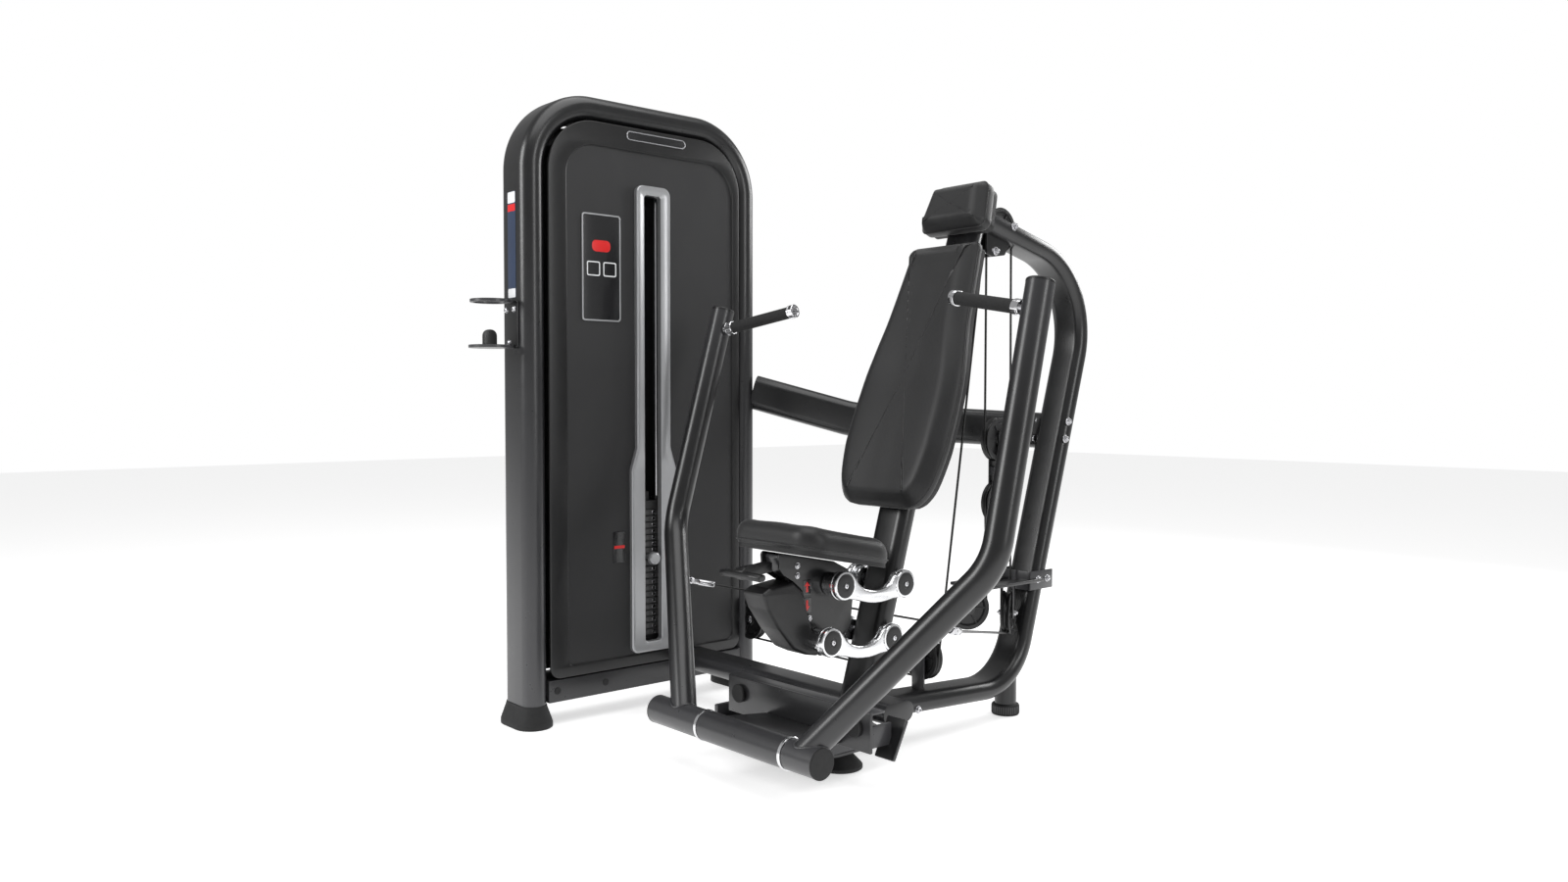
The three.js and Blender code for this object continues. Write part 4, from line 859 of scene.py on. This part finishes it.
# ------------------------------------------------------------------- pulleys
def wheel(name, c, axis, body, rep, nuts=True):
    bm = bmesh.new()
    o = [(6.6, -12), (17, -12), (18, -11), (18, -8.5), (20, -7.5), (42, -7.5), (45, -9.5), (47, -12), (56, -12), (57.3, -11), (57.3, -9.5),
         (53, -5), (50.2, -3.3), (49.2, -1.6), (49, 0), (49.2, 1.6), (50.2, 3.3), (53, 5), (57.3, 9.5), (57.3, 11), (56, 12), (47, 12),
         (45, 9.5), (42, 7.5), (20, 7.5), (18, 8.5), (18, 11), (17, 12), (6.6, 12)]
    lathe(bm, o, c, axis, 72)
    # ribs on both faces
    C, X, Y, Z = frame_at(c, axis)
    for s in (1, -1):
        for k in range(6):
            a = pi / 3 * k
            u = X * cos(a) + Y * sin(a); w = Z.cross(u)
            vs = []
            for r, q, h in ((18, -2.4, 7), (46, -2.4, 7), (46, 2.4, 7), (18, 2.4, 7), (18, -1.7, 10.6), (46, -1.7, 10.6), (46, 1.7, 10.6), (18, 1.7, 10.6)):
                vs.append(tuple(C + u * r + w * q + Z * s * h))
            add(bm, vs, [(0, 3, 2, 1), (4, 5, 6, 7), (0, 1, 5, 4), (1, 2, 6, 5), (2, 3, 7, 6), (3, 0, 4, 7)])
    piece(name, bm, "plastic", body, (rep,), 28)
    bm = bmesh.new()
    lathe(bm, [(6.6, -12.6), (11, -12.6), (11.4, -12), (11.4, 12), (11, 12.6), (6.6, 12.6)], c, axis, 32)
    piece(name + "_bush", bm, "zinc", body)


eL = (-0.504, 0.864); eR = (0.553, 0.833)
SWL = (34, 884, 282); SWR = (-34, 800, 296)
wheel("upper_rope_wheel", (0, 881, 738), (1, 0, 0), "upper_wheel", "upper_pulley")
wheel("floating_rope_wheel", (0, 884, 572), (1, 0, 0), "floating_wheel", "floating_pulley")
wheel("top_rope_wheel", (0, 878, 1290), (1, 0, 0), "top_wheel", "top_pulley")
wheel("front_rope_wheel", (0, 589.5, 202), (0, 1, 0), "front_wheel", "front_pulley")
wheel("tower_rope_wheel", (-668, 589.5, 202), (0, 1, 0), "tower_wheel", "tower_base_pulley")
wheel("left_rope_wheel", SWL, (eL[1], -eL[0], 0), "left_wheel", "swivel_pulley_left")
wheel("right_rope_wheel", SWR, (eR[1], -eR[0], 0), "right_wheel", "swivel_pulley_right")

# floating block: two cheeks, web, axles with nuts
for s, sd in ((1, "left"), (-1, "right")):
    x0, x1 = (13.5, 17.5) if s > 0 else (-17.5, -13.5)
    plate("block_cheek_" + sd, [rrect(864, 902, 545, 765, 18.5, 8)], "yz", x0, x1, "frame", "block", ("floating_block",) if s > 0 else (), 1)
    for k, (y, z) in enumerate(((881, 738), (884, 572))):
        bolt("block_nut_%s_%d" % (sd, k), (s * 17.5, y, z), (s, 0, 0), "block", 7, 5, "zinc", True, True)
bm = bmesh.new(); bx(bm, -13.6, 13.6, 866, 900, 644, 666)
piece("block_web", bm, "frame", "block", (), 30, bevel=1)
for k, (y, z) in enumerate(((881, 738), (884, 572))):
    bm = bmesh.new(); lathe(bm, [(0, -18), (6, -18), (6, 18), (0, 18)], (0, y, z), (1, 0, 0), 24)
    piece("block_axle_%d" % k, bm, "zinc", "block")

# bracket with the two leaning pulleys
plate("bracket_shelf", [rrect(-62, 66, 762, 1000, 5, 3), rrect(-17, 25, 812, 958, 4, 3)], "xy", 357, 365, "frame", "base", ("pulley_bracket",), 1.2)
for sd, c, e in (("left", SWL, eL), ("right", SWR, eR)):
    ax = Vector((e[1], -e[0], 0)).normalized(); ev = Vector((e[0], e[1], 0)).normalized()
    for s in (1, -1):
        o = round_poly([(-17, c[2] - 16 - c[2]), (17, -16), (17, 358 - c[2]), (-17, 358 - c[2])], [12, 12, 1, 1], 6)
        C = Vector(c)
        bm = bmesh.new()
        rows = []
        for h in (13.6, 17.6):
            rows.append([tuple(C + ax * (s * h) + ev * q[0] + Vector((0, 0, q[1]))) for q in o])
        m = len(o)
        add(bm, rows[0] + rows[1], [tuple(range(m))[::-1], tuple(range(m, 2 * m))] + [(i, (i + 1) % m, m + (i + 1) % m, m + i) for i in range(m)])
        piece("yoke_cheek_%s_%d" % (sd, 0 if s > 0 else 1), bm, "frame", "base", (), 30, bevel=0.9)
        bolt("yoke_nut_%s_%d" % (sd, 0 if s > 0 else 1), tuple(C + ax * (s * 17.6)), tuple(ax * s), "base", 7, 5, "zinc", True, True)
    bm = bmesh.new(); lathe(bm, [(0, -18), (6, -18), (6, 18), (0, 18)], c, tuple(ax), 24)
    piece("yoke_axle_" + sd, bm, "zinc", "base")
for s in (1, -1):
    bm = bmesh.new(); bx(bm, min(s * 50.8, s * 56), max(s * 50.8, s * 56), 950, 1050, 335, 385)
    piece("bracket_clamp_" + ("left" if s > 0 else "right"), bm, "frame", "base", (), 30, bevel=1.5)
    for k, y in enumerate((985, 1025)):
        bolt("clamp_bolt_%s_%d" % ("left" if s > 0 else "right", k), (s * 56, y, 362), (s, 0, 0), "base", 7.5, 5, "zinc", True, True)
bm = bmesh.new(); bx(bm, -56, 56, 950, 954, 335, 385)
piece("bracket_strap", bm, "frame", "base", (), 30, bevel=1.2)

# top pulley gussets, axle, anchor pin
for s, sd in ((1, "left"), (-1, "right")):
    x0, x1 = (14.6, 20.5) if s > 0 else (-20.5, -14.6)
    plate("top_gusset_" + sd, [round_poly([(806, 1222), (829, 1214), (880, 1222), (898, 1250), (898, 1300), (806, 1290)], 8, 4)], "yz", x0, x1, "frame", "base", (), 1)
for k, (y, z) in enumerate(((878, 1290),)):
    bm = bmesh.new(); lathe(bm, [(0, -24), (6, -24), (6, 24), (0, 24)], (0, y, z), (1, 0, 0), 24)
    piece("top_axle", bm, "zinc", "base")
bm = bmesh.new(); lathe(bm, [(0, -22), (4.5, -22), (4.5, 22), (0, 22)], (0, 829, 1232), (1, 0, 0), 20)
piece("anchor_pin", bm, "zinc", "base")
bm = bmesh.new(); lathe(bm, [(0, -8), (7, -8), (8.5, -6), (8.5, 6), (7, 8), (0, 8)], (0, 829, 1232), (1, 0, 0), 24)
piece("anchor_eye", bm, "zinc", "base")
bm = bmesh.new(); bx(bm, -20, 20, 571.4, 576.6, 113, 210)
piece("front_pulley_plate", bm, "frame", "base", (), 30, bevel=1)
for nm, x in (("front", 0), ("tower", -668)):
    bm = bmesh.new(); lathe(bm, [(0, 574), (6, 574), (6, 604), (0, 604)], (x, 0, 202), (0, 1, 0), 24)
    piece(nm + "_axle", bm, "zinc", "base")
bolt("front_axle_nut", (0, 604, 202), (0, 1, 0), "base", 7, 5, "zinc", True, True)

# crown pulley inside the tower hood
wheel("crown_rope_wheel", (-742, 303, 1480), (1, 0, 0), "crown_wheel", "crown_pulley")

# loop fasteners on the near side
for k, (y, z) in enumerate(((470, 91), (519, 89), (1124, 784), (1111, 736), (881, 1294), (805, 1224))):
    bolt("loop_bolt_%d" % k, (50.2, y, z), (1, 0, 0), "base", 8.5 if k > 1 else 7.5, 6, "zinc", True, k > 1)
    bolt("loop_bolt_far_%d" % k, (-50.2, y, z), (-1, 0, 0), "base", 8.5 if k > 1 else 7.5, 6, "zinc", True, k > 1)

# -------------------------------------------------------------------- cables
def cable(name, pts, rep, body=None, r=3.0, mat="cable"):
    bm = bmesh.new()
    sweep(bm, circle(r, 12), pts)
    return piece(name, bm, mat, body, (rep,), 60)


RC = 53.2
cable("stack_rope", [(-742, 250.7, 590 + 890 * i / 60) for i in range(61)], "stack_cable")
lift = (arc((-668, 589.5, 202), (1, 0, 0), (0, 0, 1), -178, -90, RC, 20)
        + arc((0, 589.5, 202), (1, 0, 0), (0, 0, 1), -90, 4, RC, 20)
        + arc((0, 878, 1290), (0, 1, 0), (0, 0, 1), 176, 0, RC, 36))
cable("lift_rope", lift, "lift_cable", "base")
la = arc((0, 881, 738), (0, 1, 0), (0, 0, 1), 0, -180, RC, 36)
n = 40
lp = [tuple(Vector((0, 931.2, 1289)).lerp(Vector(la[0]), i / n)) for i in range(n)] + la + [tuple(Vector(la[-1]).lerp(Vector((0, 829, 1226)), (i + 1) / n)) for i in range(n)]
cable("loop_rope", lp, "loop_cable")


def slope(c, e, a0, a1, n):
    return [tuple(c[k] + RC * (cos(radians(a0 + (a1 - a0) * i / n)) * (e[0], e[1], 0)[k] + sin(radians(a0 + (a1 - a0) * i / n)) * (0, 0, 1)[k]) for k in range(3)) for i in range(n + 1)]


r1 = slope(SWL, eL, -92, 0, 18); r3 = slope(SWR, eR, 0, -92, 18)
r2 = arc((0, 884, 572), (0, 1, 0), (0, 0, 1), 0, 180, RC, 36)
if hypot(r1[-1][0] - r2[0][0], r1[-1][1] - r2[0][1]) > hypot(r1[-1][0] - r2[-1][0], r1[-1][1] - r2[-1][1]): r2 = r2[::-1]
m = 26
rp = r1 + [tuple(Vector(r1[-1]).lerp(Vector(r2[0]), (i + 1) / m)) for i in range(m - 1)] + r2 + [tuple(Vector(r2[-1]).lerp(Vector(r3[0]), (i + 1) / m)) for i in range(m - 1)] + r3
cable("riser_rope", rp, "riser_cable")
arm_low = {}
for s, nm, c, e in ((1, "left", SWL, eL), (-1, "right", SWR, eR)):
    a = Vector((s * 435, 200.5, 380)); b = Vector((c[0] - 9 * e[0], c[1] - 9 * e[1], c[2] - RC))
    arm_low[nm] = (a, b)
    pts = [tuple(a.lerp(b, i / 80)) for i in range(81)]
    cable("%s_arm_rope" % nm, pts, "arm_cable_" + nm)
    d = (b - a).normalized()
    bm = bmesh.new()
    lathe(bm, [(3.2, 14), (7.5, 14), (8, 15), (8, 52), (7, 54), (5, 56), (3.2, 56)], tuple(a), tuple(d), 24)
    piece(nm + "_rope_ferrule", bm, "zinc", nm + "_cable", (), 30)
    bm = bmesh.new()
    for q in (1, -1):
        o = []
        X = Vector((1, 0, 0)); X = (X - d * X.dot(d)).normalized()
        ext(bm, rrect(-4, 18, -6, 6, 5, 4), tuple(a + X * (q * 7.4)), tuple(X), -1.6, 1.6, tuple(d))
    piece(nm + "_rope_clevis", bm, "zinc", nm + "_cable", (), 30, bevel=0.5)

# ---------------------------------------------------------- accessory holder
plate("holder_flange", [rrect(-786, -717, 977, 1095, 8, 4)], "xz", -139.8, -135.8, "frame", "base", ("accessory_holder",), 0.8)
RCN = (-756.5, -192)
ring = []
bm = bmesh.new()
lathe(bm, [(44.2, 1088.4), (45, 1088), (51.4, 1088), (52, 1088.6), (52, 1095.4), (51.4, 1096), (45, 1096), (44.2, 1095.4), (44.2, 1088.4)], (RCN[0], RCN[1], 0), (0, 0, 1), 64)
piece("holder_ring_piece", bm, "frame", "base")
bm = bmesh.new()
lathe(bm, [(0, 973.4), (55.4, 973.4), (56, 974), (56, 980.6), (55.4, 981), (51, 981), (50, 978.6), (0, 978.6)], (RCN[0], RCN[1], 0), (0, 0, 1), 64)
piece("holder_tray", bm, "frame", "base")
bm = bmesh.new(); bx(bm, -786, -735, -150, -139, 1088.5, 1095.5)
piece("holder_arm_top", bm, "frame", "base", (), 30, bevel=0.8)
bm = bmesh.new(); bx(bm, -786, -735, -150, -139, 973.5, 980.5)
piece("holder_arm_low", bm, "frame", "base", (), 30, bevel=0.8)
plate("holder_tab", [round_poly([(-214, 979.5), (-178, 979.5), (-178, 1020), (-214, 1020)], [1, 1, 17, 17], 8)], "yz", -762, -752, "frame", "base", (), 0.8)
for k, (x, z) in enumerate(((-782 + 8, 1072), (-735, 1073), (-760, 988))):
    bolt("holder_bolt_%d" % k, (x, -139.8, z), (0, -1, 0), "base", 6.5, 4)

# ------------------------------------------------------------------ soft pads
def pad(name, outline, prof, place, rep, body, dish=None):
    """outline (u, v) at full size; prof: (inset, height) from the back rim up to the crown; place maps (u, v, h) to design mm."""
    cu = sum(p[0] for p in outline) / len(outline); cv = sum(p[1] for p in outline) / len(outline)
    bm = bmesh.new(); rows = []
    m = len(outline)
    for d, h in prof:
        o = inset(outline, d) if d else outline
        rows.append([(q[0], q[1], h) for q in o])
    top = rows[-1]
    for k in range(1, 13):                         # the face, closing on the middle
        f = 1 - k / 13
        rows.append([(cu + (q[0] - cu) * f, cv + (q[1] - cv) * f, q[2]) for q in top])
    def fin(u, v, h):
        if dish and h > prof[-1][1] - 14: h += dish(u, v)
        return place(u, v, h)
    vs = [[bm.verts.new(V(fin(*q))) for q in r] for r in rows]
    for a, b in zip(vs, vs[1:]):
        for i in range(m):
            bm.faces.new((a[i], a[(i + 1) % m], b[(i + 1) % m], b[i]))
    bm.faces.new(vs[-1]); bm.faces.new(vs[0][::-1])
    o = piece(name, bm, "leather", body, rep, 180)
    return o


def dense(p, step=9):
    out = []
    m = len(p)
    for i in range(m):
        a, b = Vector(p[i]), Vector(p[(i + 1) % m])
        k = max(1, int((b - a).length / step + 0.5))
        out += [tuple(a.lerp(b, j / k)) for j in range(k)]
    return out


def piping(name, outline, h, place, body, r=2.4, dish=None):
    bm = bmesh.new()
    pts = [place(u, v, h + (dish(u, v) if dish else 0)) for u, v in outline]
    sweep(bm, circle(r, 8), pts + [pts[0], pts[1]])
    return piece(name, bm, "leather", body, (), 180)


# seat pad: rounded, dished, raised sides; piped seam round its waist
SLP = -0.2


def seat_place(u, v, h):
    return (u, v, 511 - SLP * 75 + SLP * v + h)


def seat_dish(u, v):
    side = smooth(60, 138, abs(u)); back = smooth(250, 345, v)
    return -9 * (1 - side) * smooth(90, 190, v) * (1 - 0.55 * back) - 1.5 * sin(pi * u / 142) ** 2


seat_o = dense(rp2([(-140, 77), (140, 77), (141, 212), (140, 348), (-140, 348), (-141, 212)], [56, 56, 56, 56, 56, 56], 10), 8)
pad("seat_pad", seat_o, [(7, 9), (2.5, 12), (0.4, 18), (0, 27), (0.6, 36), (2.6, 44), (6, 51.5), (11, 58), (18, 63.4), (27, 67.2), (38, 69.4)], seat_place, ("seat_cushion",), "seat", seat_dish)
piping("seat_piping", inset(seat_o, -0.4), 19, seat_place, "seat", 2.2)
bm = bmesh.new()
so = inset(seat_o, 4)
rows = []
for d, h in ((3, 0.4), (0, 1.6), (0, 12.5)):
    rows.append([bm.verts.new(V(seat_place(u, v, h))) for u, v in inset(so, d + 0.001)])
for a, b in zip(rows, rows[1:]):
    for i in range(len(a)): bm.faces.new((a[i], a[(i + 1) % len(a)], b[(i + 1) % len(a)], b[i]))
bm.faces.new(rows[0][::-1]); bm.faces.new(rows[-1])
piece("seat_board", bm, "board", "seat", (), 30)

# back pad
LN = radians(20.57)
Lb = hypot(640 - 398, 1245 - 600)
tdir = (0, (640 - 398) / Lb, (1245 - 600) / Lb); ndir = (0, -tdir[2], tdir[1])
BT = 74.0


def back_place(u, v, h):
    """u across, v along the pad from its foot, h from the board's back face towards the sitter."""
    q = BT - h
    return (u, 398 + tdir[1] * v + tdir[2] * q, 600 + tdir[2] * v - tdir[1] * q)


hw = [(100, 4), (126, 20), (149, 60), (162.5, 140), (163.5, 195), (162.5, 250), (157, 330), (145, 400), (131, 470), (121.5, 545), (113.5, 620), (107, Lb - 8)]
backpoly = [(w, v) for w, v in hw]
half = []
for k in range(len(backpoly) - 1):
    (w0, v0), (w1, v1) = backpoly[k], backpoly[k + 1]
    wp = backpoly[max(0, k - 1)]; wn_ = backpoly[min(len(backpoly) - 1, k + 2)]
    for j in range(4):
        t = j / 4
        def cr(a, b, c, d): return 0.5 * (2 * b + (c - a) * t + (2 * a - 5 * b + 4 * c - d) * t * t + (3 * b - a - 3 * c + d) * t ** 3)
        half.append((min(163.6, cr(wp[0], w0, w1, wn_[0])), max(2.5, cr(wp[1], v0, v1, wn_[1]))))
half.append(backpoly[-1])
low = [(78, 1.2)]
backo = low + half + [(100, Lb - 1.2)]
backo = dense(backo + [(-a, b) for a, b in reversed(backo)], 12)


def back_dish(u, v):
    """A shallow hollow down the middle, and a faint cross roll at the lumbar."""
    return -3.2 * (1 - smooth(20, 120, abs(u))) + 2.0 * math.exp(-((v - 150) / 90) ** 2) - 1.6 * math.exp(-((v - 330) / 60) ** 2)


pad("back_pad", backo, [(7, 21), (2.2, 22.5), (0.6, 26), (0.4, 36), (2.6, 42), (7, 48), (13, 55), (20, 62), (25, 66.5), (30, 69.5), (38, 71.5)], back_place, ("back_cushion",), "base", back_dish)
piping("back_seam", inset(backo, 1.0), 38.5, back_place, "base", 1.5)
bm = bmesh.new(); rows = []
for d, h in ((9, 1.5), (7.5, 3), (7.5, 20.8)):
    rows.append([bm.verts.new(V(back_place(u, v, h))) for u, v in inset(backo, d)])
for a, b in zip(rows, rows[1:]):
    for i in range(len(a)): bm.faces.new((a[i], a[(i + 1) % len(a)], b[(i + 1) % len(a)], b[i]))
bm.faces.new(rows[0][::-1]); bm.faces.new(rows[-1])
piece("back_board", bm, "board", "base", (), 30)


def head_place(u, v, h):
    q = 84 - h
    return (u, 655 + tdir[1] * v + tdir[2] * q, 1282 + tdir[2] * v - tdir[1] * q)


ho = rrect(-107, 107, 1.5, 130.5, 25, 8)
ho = dense([(a * (1 - b / 132 * 0.2), b) for a, b in ho], 9)
pad("head_pad", ho, [(6, 21), (1.8, 22.5), (0.6, 27), (0.6, 44), (2.6, 50), (7, 57), (12, 64), (16, 70), (20, 75), (25, 78), (31, 80)], head_place, ("head_cushion",), "base", lambda u, v: -1.5 * (1 - smooth(10, 70, abs(u))))
piping("head_seam", inset(ho, 1.0), 47, head_place, "base", 1.5)
bm = bmesh.new(); rows = []
for d, h in ((8, 1.0), (6.5, 2.5), (6.5, 21)):
    rows.append([bm.verts.new(V(head_place(u, v, h))) for u, v in inset(ho, d)])
for a, b in zip(rows, rows[1:]):
    for i in range(len(a)): bm.faces.new((a[i], a[(i + 1) % len(a)], b[(i + 1) % len(a)], b[i]))
bm.faces.new(rows[0][::-1]); bm.faces.new(rows[-1])
piece("head_board", bm, "board", "base", (), 30)

# ------------------------------------------- nodes kept as CAD, with a finish
obj = {o.name: o for o in bpy.data.objects}
KEEP = dict(crown_bracket="frame", stack_buffer="rubber", upper_beam="frame", shroud_rear="shroud", slot_trim="trim",
            guide_rod_front="chrome", guide_rod_rear="chrome", resting_plates="plates", lifted_plates="plates", head_plate="plates",
            selector_rod="chrome", selector_pin="plastic", tower_boot_front="rubber", tower_boot_rear="rubber")
for o in list(bpy.data.objects):
    if o.type == "MESH" and o.name in KEEP:
        for sl in o.material_slots: sl.material = M[KEEP[o.name]]

# --------------------------------------------------------- ropes, with their transforms baked into the meshes
D = {o.name: o for o in bpy.data.objects}
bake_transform(D["stack_rope"])
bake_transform(D["loop_rope"])
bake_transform(D["riser_rope"])
for nm in ("left", "right"):
    a, b = arm_low[nm]
    e = b.lerp(a, 250 / (a - b).length)
    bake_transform(D[nm + "_arm_rope"])

# ------------------------------------------------------- floor, light, camera
fl = bpy.data.meshes.new("floor_sheet")
fl.from_pydata([(-14, -14, 0), (14, -14, 0), (14, 14, 0), (-14, 14, 0)], [], [(0, 1, 2, 3)])
flo = bpy.data.objects.new("floor_sheet", fl)
bpy.context.scene.collection.objects.link(flo)
fm, nt, b = new_mat("floor_white")
b.inputs["Base Color"].default_value = (0.93, 0.93, 0.93, 1)
b.inputs["Roughness"].default_value = 0.42
b.inputs["Specular IOR Level"].default_value = 0.35
b.inputs["Emission Color"].default_value = (1, 1, 1, 1)
b.inputs["Emission Strength"].default_value = 0.55
fl.materials.append(fm)

w = bpy.data.worlds.new("studio"); bpy.context.scene.world = w
w.use_nodes = True
nt = w.node_tree
bg = nt.nodes["Background"]
bg.inputs["Color"].default_value = (1, 1, 1, 1)
bg.inputs["Strength"].default_value = 1.0
lo_ = nt.nodes.new("ShaderNodeBackground")           # softer light than the white surround that is seen
lo_.inputs["Color"].default_value = (1, 1, 1, 1)
lo_.inputs["Strength"].default_value = 0.36
lp_ = nt.nodes.new("ShaderNodeLightPath"); mx_ = nt.nodes.new("ShaderNodeMixShader")
nt.links.new(lp_.outputs["Is Camera Ray"], mx_.inputs[0])
nt.links.new(lo_.outputs[0], mx_.inputs[1])
nt.links.new(bg.outputs[0], mx_.inputs[2])
nt.links.new(mx_.outputs[0], nt.nodes["World Output"].inputs["Surface"])


def area(name, loc, at, size, power, size_y=None):
    l = bpy.data.lights.new(name, "AREA")
    l.energy = power
    l.shape = "RECTANGLE"; l.size = size; l.size_y = size_y or size
    o = bpy.data.objects.new(name, l)
    bpy.context.scene.collection.objects.link(o)
    o.location = loc
    o.rotation_euler = (Vector(at) - Vector(loc)).to_track_quat("-Z", "Y").to_euler()
    return o


area("top_soft", (0.3, -0.4, 3.6), (0, 0, 0.6), 2.6, 62, 3.4)
area("front_left", (-1.6, -4.2, 2.6), (-0.2, 0, 0.8), 1.8, 105, 2.4)
area("right_strip", (4.0, 0.2, 2.2), (0, 0, 0.8), 0.8, 40, 2.6)
area("rear_rim", (0.4, 3.6, 2.4), (0, 0, 0.8), 2.2, 60, 1.4)

cam = bpy.data.cameras.new("cam")
cam.lens = 27.08; cam.sensor_width = 36; cam.sensor_fit = "HORIZONTAL"
cam.clip_start = 0.05; cam.clip_end = 60
co = bpy.data.objects.new("cam", cam)
bpy.context.scene.collection.objects.link(co)
az = radians(48.794); pt = radians(1.984)
d = Vector((-sin(az) * cos(pt), cos(az) * cos(pt), -sin(pt)))
co.location = (2.11685, -2.09255, 0.8423)
co.rotation_euler = d.to_track_quat("-Z", "Y").to_euler()
co.rotation_euler.rotate_axis("Z", 0.0005)
bpy.context.scene.camera = co
bpy.context.scene.view_settings.view_transform = "Standard"
